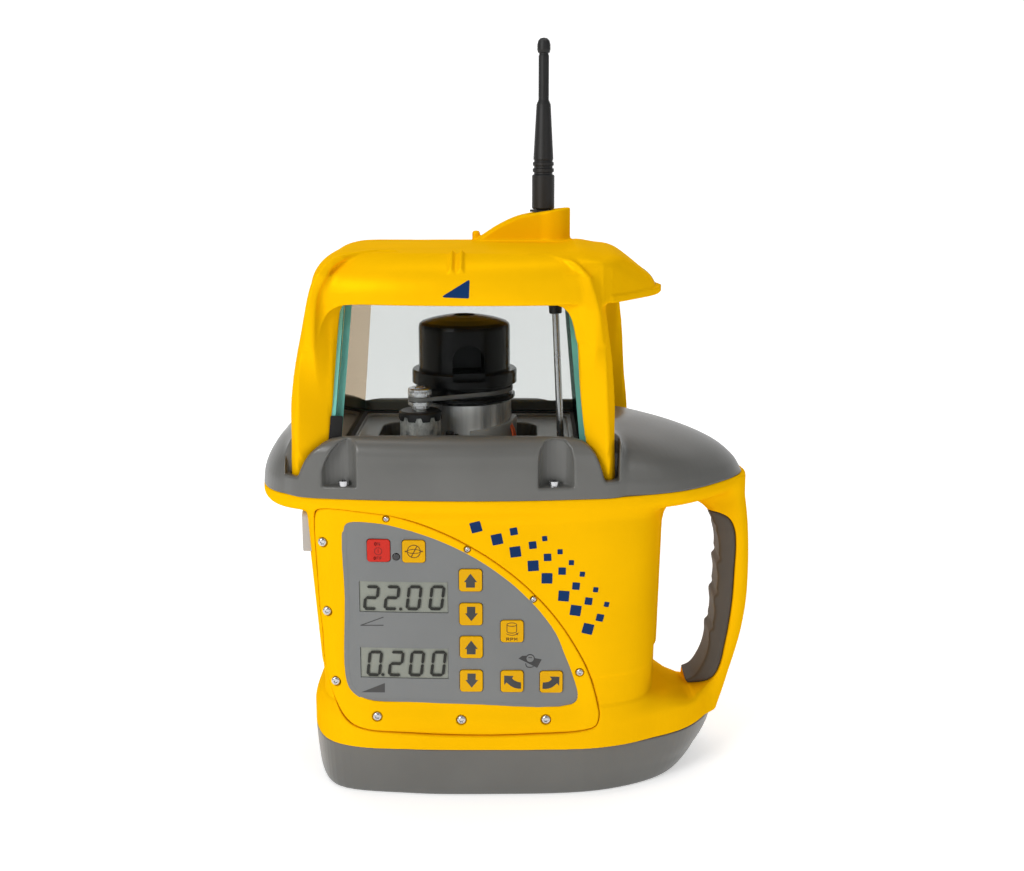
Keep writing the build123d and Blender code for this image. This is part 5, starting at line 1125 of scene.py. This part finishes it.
b = Build()
film = on_film(min(v.co.y for v in NODES["lcd_modules"].data.vertices) / MM - front_y(-34.0))
for text, x0s, z0s, w, h, slant, dot in (
        ("2200", (-59.34, -46.87, -33.54, -19.82), (120.5, 120.7, 120.9, 121.1), 8.85, 15.6, 2.0, (-36.3, 121.5)),
        ("0200", (-58.12, -45.03, -32.49, -19.24), (78.3, 78.5, 78.7, 78.9), 8.82, 16.4, 2.0, (-47.9, 79.4))):
    for ch, x0, z0 in zip(text, x0s, z0s):
        digit(b, ch, x0, z0, w, h, slant, 1.75, film)
    b.poly([(dot[0] + x, dot[1] + z) for x, z in circle(0.95, 14)], film, 0.05, 0.1)
digits = b.done("display_digits", lcd_ink, "housing")

b = Build()
film = on_film(0.5)
run = np.roll(MEMBRANE_S, -1, axis=0) - np.roll(MEMBRANE_S, 1, axis=0)
run /= np.linalg.norm(run, axis=1, keepdims=True)
turn = np.sum(MEMBRANE_S[:, 0] * np.roll(MEMBRANE_S[:, 1], -1) - np.roll(MEMBRANE_S[:, 0], -1) * MEMBRANE_S[:, 1])
aside = np.stack([run[:, 1], -run[:, 0]], 1) * (1 if turn > 0 else -1)
b.band(MEMBRANE_S + aside * 0.4, MEMBRANE_S - aside * 2.2, film, 0.1, 0.3)
edge = b.done("panel_edge", panel_mat, "housing")
b = Build()
corner = [(-46.93, 116.2), (-60.68, 110.71), (-47.03, 111.05)]
line(b, corner[0], corner[1], 0.62, film, ext=0.2)
line(b, corner[1], corner[2], 0.62, film, ext=0.2)
b.poly([(-61.34, 67.66), (-46.7, 74.05), (-46.82, 67.95)], film, 0.06, 0.12)
b.poly([(34.64, 90.58), (37.05, 92.29), (39.66, 92.27), (44.57, 90.75), (48.75, 89.87), (46.04, 84.44), (39.0, 88.3)], film, 0.06, 0.12)
ring(b, 41.78, 90.52, 2.5, 2.5, 0.55, film, lift=0.16)
line(b, (40.7, 91.1), (42.9, 91.1), 0.5, film, lift=0.16)
arc = smooth_line([(39.0, 87.4), (39.67, 85.4), (41.8, 84.81), (43.86, 85.36)], 6)
b.stroke(arc, 0.6, film, 0.1, 0.12)
marks = b.done("panel_marks", ink, "housing")
b = Build()
b.poly([(41.78 + x, 90.52 + z) for x, z in circle(2.4, 24)], film, 0.11, 0.12)
dot = b.done("panel_dot", panel_mat, "housing")

UP_ARROW = [(-0.06, 4.38), (3.97, -0.98), (2.6, -0.98), (2.58, -4.36), (-2.75, -4.38), (-2.72, -1.0), (-3.92, -1.01)]
DOWN_ARROW = [(0.2, -4.21), (-3.56, 0.7), (-2.36, 0.71), (-2.33, 4.87), (2.65, 4.89), (2.63, 0.73), (4.13, 0.73)]
LEFT_ARROW = [(-4.82, 3.83), (0.88, 3.61), (0.03, 2.13), (1.0, 1.1), (1.97, 0.45), (3.6, -0.2), (5.43, -0.48), (5.44, -4.55), (3.6, -4.5),
              (1.97, -4.2), (0.3, -3.5), (-1.19, -2.55), (-2.5, -1.3), (-3.4, -0.6), (-4.75, -2.1)]
RIGHT_ARROW = [(5.0, 3.51), (-0.77, 3.6), (0.27, 1.9), (-0.6, 0.9), (-1.6, 0.26), (-3.2, -0.1), (-5.13, -0.21), (-5.35, -4.28), (-3.4, -4.4),
               (-1.58, -4.14), (0.1, -3.5), (1.52, -2.6), (2.8, -1.4), (3.5, -0.7), (4.75, -2.4)]
for key, shape in (("key_grade_up", UP_ARROW), ("key_grade_down", DOWN_ARROW), ("key_cross_up", UP_ARROW),
                   ("key_cross_down", DOWN_ARROW), ("key_turn_left", LEFT_ARROW), ("key_turn_right", RIGHT_ARROW)):
    b = Build()
    b.poly(shape, on_key(key), 0.06, 0.12)
    m = b.done(key + "_mark", ink, key)
b, face = Build(), on_key("key_power")
word(b, "ON", -0.5, 4.2, 3.9, 2.1, 0.42, face)
ring(b, -0.2, -0.3, 2.2, 2.2, 0.5, face)
line(b, (-0.2, -1.3), (-0.2, 0.9), 0.5, face)
word(b, "OFF", -0.3, -4.6, 5.4, 2.1, 0.42, face)
m = b.done("key_power_mark", red_ink, "key_power")
b, face = Build(), on_key("key_mode")
ring(b, 0.09, 0.12, 3.9, 3.9, 0.5, face)
ring(b, 0.09, 0.12, 3.9, 1.25, 0.42, face, lift=0.09)
line(b, (1.95, 3.3), (-1.55, -3.4), 0.5, face, lift=0.12)
for s in (-1, 1):
    line(b, (0.09 + s * 4.2, 0.12), (0.09 + s * 5.4, 0.12), 0.9, face)
m = b.done("key_mode_mark", brown_ink, "key_mode")
b, face = Build(), on_key("key_speed")
ring(b, -0.15, 4.4, 2.9, 1.1, 0.45, face)
for s in (-1, 1):
    line(b, (-0.15 + s * 2.9, 4.4), (-0.15 + s * 2.9, 0.1), 0.45, face, lift=0.09)
ring(b, -0.15, 0.1, 2.9, 1.05, 0.45, face, 180.0, 360.0, 17)
ring(b, -0.15, -0.9, 3.3, 1.45, 0.42, face, 195.0, 330.0, 17)
b.poly([(2.2, -1.3), (4.1, -0.5), (3.2, -2.3)], face, 0.08, 0.12)
word(b, "RPM", 0.1, -4.9, 7.2, 2.1, 0.42, face)
m = b.done("key_speed_mark", brown_ink, "key_speed")


# ------------------------------------------------------------------ printed marks on the shells
def on_body(u, v, h):
    return (u, ray_y(F_HOUSE, G_HOUSE, u, v, -86.5, -20.0) - h, v)


def on_hood(u, v, h):
    return (u, ray_y(F_CANOPY, G_CANOPY, u, v, -92.0, -60.0) - h, v)


def on_beak(u, v, h):
    zs = np.linspace(352.0, 300.0, 300)
    f = field_at(F_CANOPY, G_CANOPY, np.stack([np.full(300, u), np.full(300, v), zs], 1))[0]
    i = int(np.argmax(f < 0))
    return (u + 0.6 * h, v, zs[i - 1] + (zs[i] - zs[i - 1]) * f[i - 1] / (f[i - 1] - f[i]) + 0.8 * h)


def rounded(poly, r, n=6, step=1.2):
    """Polygon with rounded corners and points along its sides."""
    p = [np.array(q, float) for q in poly]
    out = []
    for i in range(len(p)):
        a, c, e = p[i - 1], p[i], p[(i + 1) % len(p)]
        u, v = (a - c) / np.linalg.norm(a - c), (e - c) / np.linalg.norm(e - c)
        half = math.acos(max(-1.0, min(1.0, float(u @ v)))) / 2
        s = r / math.tan(half)
        t0, t1 = c + u * s, c + v * s
        for k in range(n + 1):
            t = k / n
            out.append((1 - t) ** 2 * t0 + 2 * t * (1 - t) * c + t ** 2 * t1)
        d = p[(i + 1) % len(p)] - c
        m = int(np.linalg.norm(d) / step)
        far = np.linalg.norm(d)
        for k in range(1, m):
            if s + 0.5 < far * k / m < far - s - 2.5:
                out.append(c + d * (k / m))
    return np.array(out)


b = Build()
tri = rounded([(-9.6, 310.8), (7.0, 320.9), (6.6, 310.2)], 0.9)
b.patch(tri, (3.2, 313.6), on_hood, 0.14, 0.25, 7)
tri = rounded([(119.6, -8.0), (111.6, 7.6), (119.8, 7.2)], 0.9)
b.patch(tri, (117.2, 3.0), on_beak, 0.14, 0.25, 7)
arc = smooth_line([(-6.0, 167.2), (1.6, 163.4), (21.2, 151.1), (40.9, 134.6), (59.0, 113.8), (70.0, 96.0)], 10)
d = np.gradient(arc, axis=0)
d /= np.linalg.norm(d, axis=1, keepdims=True)
out_n = np.stack([-d[:, 1], d[:, 0]], 1) * (1 if d[0][0] > 0 else -1)
along = np.concatenate([[0.0], np.cumsum(np.linalg.norm(np.diff(arc, axis=0), axis=1))])
along /= along[-1]
for off, t0, t1, count, size in ((12.4, 0.10, 0.93, 8, 4.6), (22.0, 0.28, 0.90, 7, 3.2), (29.6, 0.42, 0.86, 6, 2.2)):
    for t in np.linspace(t0, t1, count):
        i = int(np.argmin(np.abs(along - t)))
        c = arc[i] + out_n[i] * off
        u, v = d[i], out_n[i]
        dia = rounded([c + u * size, c + v * size, c - u * size, c - v * size], 0.45, 4, 1.0)
        b.patch(dia, c, on_body, 0.16, 0.3, 3)
art = b.done("shell_marks", blue_ink, "housing")

# ------------------------------------------------------------------ rotor drive details
MX, MY = -25.4, -40.0


def turned_rows(rows, cx, cy, n, shape=None):
    """Rings about a vertical axis; shape(row, angle) may change radius and height."""
    a = np.linspace(0, 2 * math.pi, n, endpoint=False)
    out = []
    for k, (r, z) in enumerate(rows):
        pts = []
        for t in a:
            rr, zz = shape(k, t, r, z) if shape else (r, z)
            pts.append((cx + rr * math.cos(t), cy + rr * math.sin(t), zz))
        out.append(pts)
    return out


b = Build()


def cap_shape(k, t, r, z):
    if k in (4, 5):
        return r, z if (t * 9 / (2 * math.pi)) % 1.0 < 0.55 else 234.0
    return r, z


b.loop_rings(turned_rows([(4.4, 235.1), (4.4, 236.6), (11.6, 237.0), (12.95, 236.0), (12.95, 231.4), (12.5, 231.4), (12.5, 234.6),
                          (11.0, 235.1)], MX, MY, 90, cap_shape))
cap = b.done("motor_cap", black, "laser_tube")
soften(cap, 35)

b = Build()


def knurl(k, t, r, z):
    if k in (1, 2):
        return r * (1 + 0.03 * math.cos(16 * t)), z
    if k in (9, 10, 11, 12):
        return r * (1 + 0.022 * math.cos(28 * t)), z
    return r, z


b.loop_rings(turned_rows([(1.75, 238.05), (5.3, 238.05), (5.3, 239.9), (6.2, 240.2), (7.35, 240.4), (7.35, 242.5), (6.2, 242.65), (6.2, 245.75),
                          (7.2, 245.9), (7.3, 247.1), (7.3, 248.3), (6.9, 248.6), (7.3, 248.9), (7.3, 250.1), (6.7, 250.75),
                          (3.2, 250.75), (2.8, 250.2), (1.75, 250.2)], MX, MY, 112, knurl))
pulley = b.done("drive_pulley", steel, "motor_pulley")
soften(pulley, 35)
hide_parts("motor_pulley")

# clamp round the tube, with a rough cast skin
b = Build()
rows = []
for t in np.radians(np.linspace(-82.0, 4.0, 30)):
    top = 221.6 + 4.6 * (math.degrees(t) + 82.0) / 86.0
    sec = [(29.75, 207.0), (32.6, 207.0), (33.2, 208.0), (33.2, top - 1.4), (32.4, top), (29.75, top)]
    rows.append([(r * math.cos(t), r * math.sin(t), z) for r, z in sec])
b.rings(rows)
clamp = b.done("tube_clamp", cast_part, "laser_tube")
soften(clamp, 30)

# terminal block in front of the tube
b = Build()
for x0, x1, y0, y1, z0, z1 in ((-10.2, -5.4, -36.4, -33.6, 206.0, 222.6), (-1.6, 7.6, -37.4, -32.4, 206.0, 217.0)):
    sec = rounded([(x0, y0), (x1, y0), (x1, y1), (x0, y1)], 0.7, 4, 9.0)
    mid = np.array([(x0 + x1) / 2, (y0 + y1) / 2])
    rows = [[(q[0], q[1], z) for q in mid + (sec - mid) * s] for z, s in ((z0, 1.0), (z1 - 0.7, 1.0), (z1 - 0.2, 0.94), (z1, 0.84))]
    b.rings(rows)
blocks = b.done("terminal_blocks", black, "laser_tube")
soften(blocks, 35)
b = Build()
for x in (0.0, 2.6, 5.2):
    rows = [[(x + q[0] * s, -36.0 + q[1] * s, z) for q in circle(0.62, 12)] for z, s in ((214.0, 1.0), (219.2, 1.0), (219.9, 0.72), (220.1, 0.3))]
    b.rings(rows)
tab = rounded([(-5.0, -35.4), (-2.4, -35.4), (-2.4, -34.6), (-5.0, -34.6)], 0.25, 3, 9.0)
b.rings([[(q[0], q[1], z) for q in tab] for z in (206.0, 221.2)])
pins = b.done("terminal_pins", steel, "laser_tube")
soften(pins, 35)


def tube_along(b, pts, r, n=12, per=8):
    """Round wire along a smooth path."""
    m = []
    p = [np.array(q, float) for q in pts]
    p = [2 * p[0] - p[1]] + p + [2 * p[-1] - p[-2]]
    for i in range(1, len(p) - 2):
        m += span(p[i - 1], p[i], p[i + 1], p[i + 2], per)
    m.append(p[-2])
    m = np.array(m)
    t = np.gradient(m, axis=0)
    t /= np.linalg.norm(t, axis=1, keepdims=True)
    side = np.array([1.0, 0.0, 0.0])
    rows = []
    for c, d0 in zip(m, t):
        u = side - d0 * (side @ d0)
        u /= np.linalg.norm(u)
        v = np.cross(d0, u)
        rows.append([tuple(c + r * (math.cos(a) * u + math.sin(a) * v)) for a in np.linspace(0, 2 * math.pi, n, endpoint=False)])
    b.rings(rows)


b = Build()
tube_along(b, [(31.2, -17.4, 200.0), (31.0, -17.2, 207.0), (31.2, -16.8, 213.0), (30.6, -16.0, 218.6), (29.2, -15.2, 222.4)], 0.72)
tube_along(b, [(33.0, -15.4, 200.0), (32.7, -15.2, 207.0), (32.6, -14.8, 213.0), (31.6, -14.2, 219.0), (29.6, -13.6, 223.2)], 0.72)
wires = b.done("sensor_wires", copper, "laser_tube", True)


# ------------------------------------------------------------------ trim between the left leg and the panes, and a dark block of painted shadow at the foot of the pane edge
def leg_in(z):
    return -(77.6 - 0.1 * (z - 222.0))


def pane_x(z):
    return -(75.4 - 8.5 * (z - 216.0) / 96.0)


def pane_y(z):
    return -(68.4 - 8.6 * (z - 216.0) / 96.0)


b = Build()
rows = []
for z in (214.6, 236.0, 262.0, 286.0, 304.0):
    x0, x1, y0 = leg_in(z) - 0.5, pane_x(z) - 0.1, pane_y(z) + 0.1
    rows.append([(q[0], q[1], z) for q in rounded([(x0, y0), (x1, y0), (x1, y0 + 3.8), (x0, y0 + 3.8)], 0.25, 3, 9.0)])
b.rings(rows)
trim = b.done("pane_trim", glass_edge, "housing")
soften(trim, 35)
# thin dark sheet in the seal rubber finish in front of the lower pane edge: painted shadow of the pane edge, not a
# real pad
b = Build()
rows = []
for z in (214.4, 222.0, 230.0, 237.4, 238.4):
    x0, x1, y0 = leg_in(z) - 0.4, pane_x(z) + (4.4 if z < 238 else 4.0), pane_y(z) - 1.0
    rows.append([(q[0], q[1], z) for q in rounded([(x0, y0), (x1, y0), (x1, y0 + 0.85), (x0, y0 + 0.85)], 0.25, 3, 9.0)])
b.rings(rows)
foot_shade = b.done("pane_foot_painted_shade", seal_mat, "housing")
soften(foot_shade, 35)


# narrow belt between the two pulleys
def belt_line(r1, r2, n1=72, n2=28):
    c2 = np.array([MX, MY])
    far = np.linalg.norm(c2)
    turn, half = math.atan2(MY, MX), math.acos((29.5 - 6.2) / far)
    a1 = np.linspace(turn + half, turn + 2 * math.pi - half, n1)
    a2 = np.linspace(turn - half, turn + half, n2)
    return [(r1 * math.cos(a), r1 * math.sin(a)) for a in a1] + [(MX + r2 * math.cos(a), MY + r2 * math.sin(a)) for a in a2]


b = Build()
rows = []
for t, z in ((0.12, 242.95), (0.95, 242.95), (1.1, 243.15), (1.1, 245.25), (0.95, 245.45), (0.12, 245.45)):
    rows.append([(x, y, z) for x, y in belt_line(29.5 + t, 6.2 + t)])
b.loop_rings(rows)
belt = b.done("narrow_belt", belt_mat, "laser_tube")
soften(belt, 40)
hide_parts("drive_belt")

# ------------------------------------------------------------------ finishes of the carried-over nodes
NODE_MATS = {
    "antenna": antenna_mat, "antenna_mount": antenna_mat, "base_screws": steel, "battery_cells": cell_mat,
    "battery_contacts": steel, "battery_door": yellow, "battery_holder": black, "cable_conduit": steel,
    "charge_jack": steel, "chassis": cast, "conduit_ferrule": black, "cover_screws": steel, "cover_seal": seal_mat,
    "cross_pins": steel, "cross_plunger": steel, "door_hinge_pin": steel, "door_latch": black, "drive_belt": belt_mat,
    "gimbal_pins": steel, "gimbal_ring": cast, "grade_plunger": steel, "keypad_board": board_mat,
    "keypad_membrane": panel_mat, "laser_module": black, "laser_tube": galv, "lcd_modules": lcd_mat,
    "main_board": board_mat, "motor_bracket": cast_part, "motor_pulley": alu, "port_plate": plate_mat,
    "prism": prism_mat, "rotor_bearing": steel, "rotor_head": rotor_mat, "rotor_motor": can_mat, "rotor_pulley": rotor_mat,
    "status_led": led_mat, "tilt_actuators": alu, "tripod_insert": brass, "window_gasket": seal_mat,
    "window_front": glass_front, "window_rear": glass_front, "window_left": glass_side_painted_reflection, "window_right": glass_painted_dark_reflection,
}
for k in KEYS:
    NODE_MATS[k] = key_red if k == "key_power" else key_mat
for n, ob in NODES.items():
    if n not in NODE_MATS:
        continue
    ob.data.materials.clear()
    ob.data.materials.append(NODE_MATS[n])
    soften(ob, 32)
for n in ("window_front", "window_rear", "window_left", "window_right"):
    me = NODES[n].data
    me.materials.append(glass_edge)
    axis = 1 if n in ("window_front", "window_rear") else 0
    for p in me.polygons:
        p.material_index = 0 if abs(p.normal[axis]) > 0.9 else 1

# ------------------------------------------------------------------ floor, light and camera
floor_mat, nt, p, tc = material("floor")
n = noise(nt, tc, 1.4, 2.0)
c = ramp(nt, n.outputs["Fac"], [(0.3, (0.93, 0.93, 0.93)), (0.7, (0.95, 0.95, 0.95))])
nt.links.new(c.outputs["Color"], p.inputs["Base Color"])
p.inputs["Roughness"].default_value = 0.9
p.inputs["Specular IOR Level"].default_value = 0.1
p.inputs["Emission Color"].default_value = (1, 1, 1, 1)
p.inputs["Emission Strength"].default_value = 0.44
# floor that turns up into a plain wall far behind
line = [(-5.0, 0.0), (0.0, 0.0), (1.6, 0.0)]
line += [(1.6 + 1.4 * math.sin(a), 1.4 - 1.4 * math.cos(a)) for a in np.linspace(0.08, math.pi / 2, 20)] + [(3.0, 5.0)]
verts = [(sx * 6.0, y, z) for y, z in line for sx in (-1, 1)]
faces = [(2 * i, 2 * i + 1, 2 * i + 3, 2 * i + 2) for i in range(len(line) - 1)]
me = bpy.data.meshes.new("floor")
me.from_pydata(verts, [], faces)
me.polygons.foreach_set("use_smooth", [True] * len(faces))
floor = bpy.data.objects.new("floor", me)
me.materials.append(floor_mat)
bpy.context.scene.collection.objects.link(floor)
floor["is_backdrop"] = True

scene = bpy.context.scene
scene.view_settings.view_transform = "Standard"
world = bpy.data.worlds.new("studio")
scene.world = world
world.use_nodes = True
bg = world.node_tree.nodes["Background"]
bg.inputs["Color"].default_value = (1.0, 1.0, 1.0, 1)
bg.inputs["Strength"].default_value = 0.22


def area(name, loc, aim, size, power, col=(1, 1, 1)):
    l = bpy.data.lights.new(name, "AREA")
    l.shape = "RECTANGLE"
    l.size, l.size_y = size
    l.energy = power
    l.color = col
    o = bpy.data.objects.new(name, l)
    o.location = loc
    d = Vector(aim) - Vector(loc)
    o.rotation_euler = d.to_track_quat("-Z", "Y").to_euler()
    scene.collection.objects.link(o)
    o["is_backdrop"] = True
    return o


area("key", (-1.4, -1.8, 1.25), (0, 0, 0.2), (1.0, 1.0), 31)
area("fill", (1.4, -1.7, 1.3), (0, 0, 0.3), (1.2, 1.2), 5.6)
area("top", (0.05, -0.1, 1.9), (0, 0, 0.2), (1.3, 0.4), 7)
area("back", (0.0, 0.9, 2.6), (0, 3.0, 0.8), (4.0, 1.0), 16)

cam = bpy.data.cameras.new("camera")
cam.sensor_width = 36.0
cam.lens = 49.01
cam.clip_start = 0.01
camera = bpy.data.objects.new("camera", cam)
camera.location = (0.037706, -0.87345, 0.397899)
camera.rotation_euler = (math.radians(90 - 11.98), 0.0, 0.0087065)
scene.collection.objects.link(camera)
scene.camera = camera

lo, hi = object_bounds()
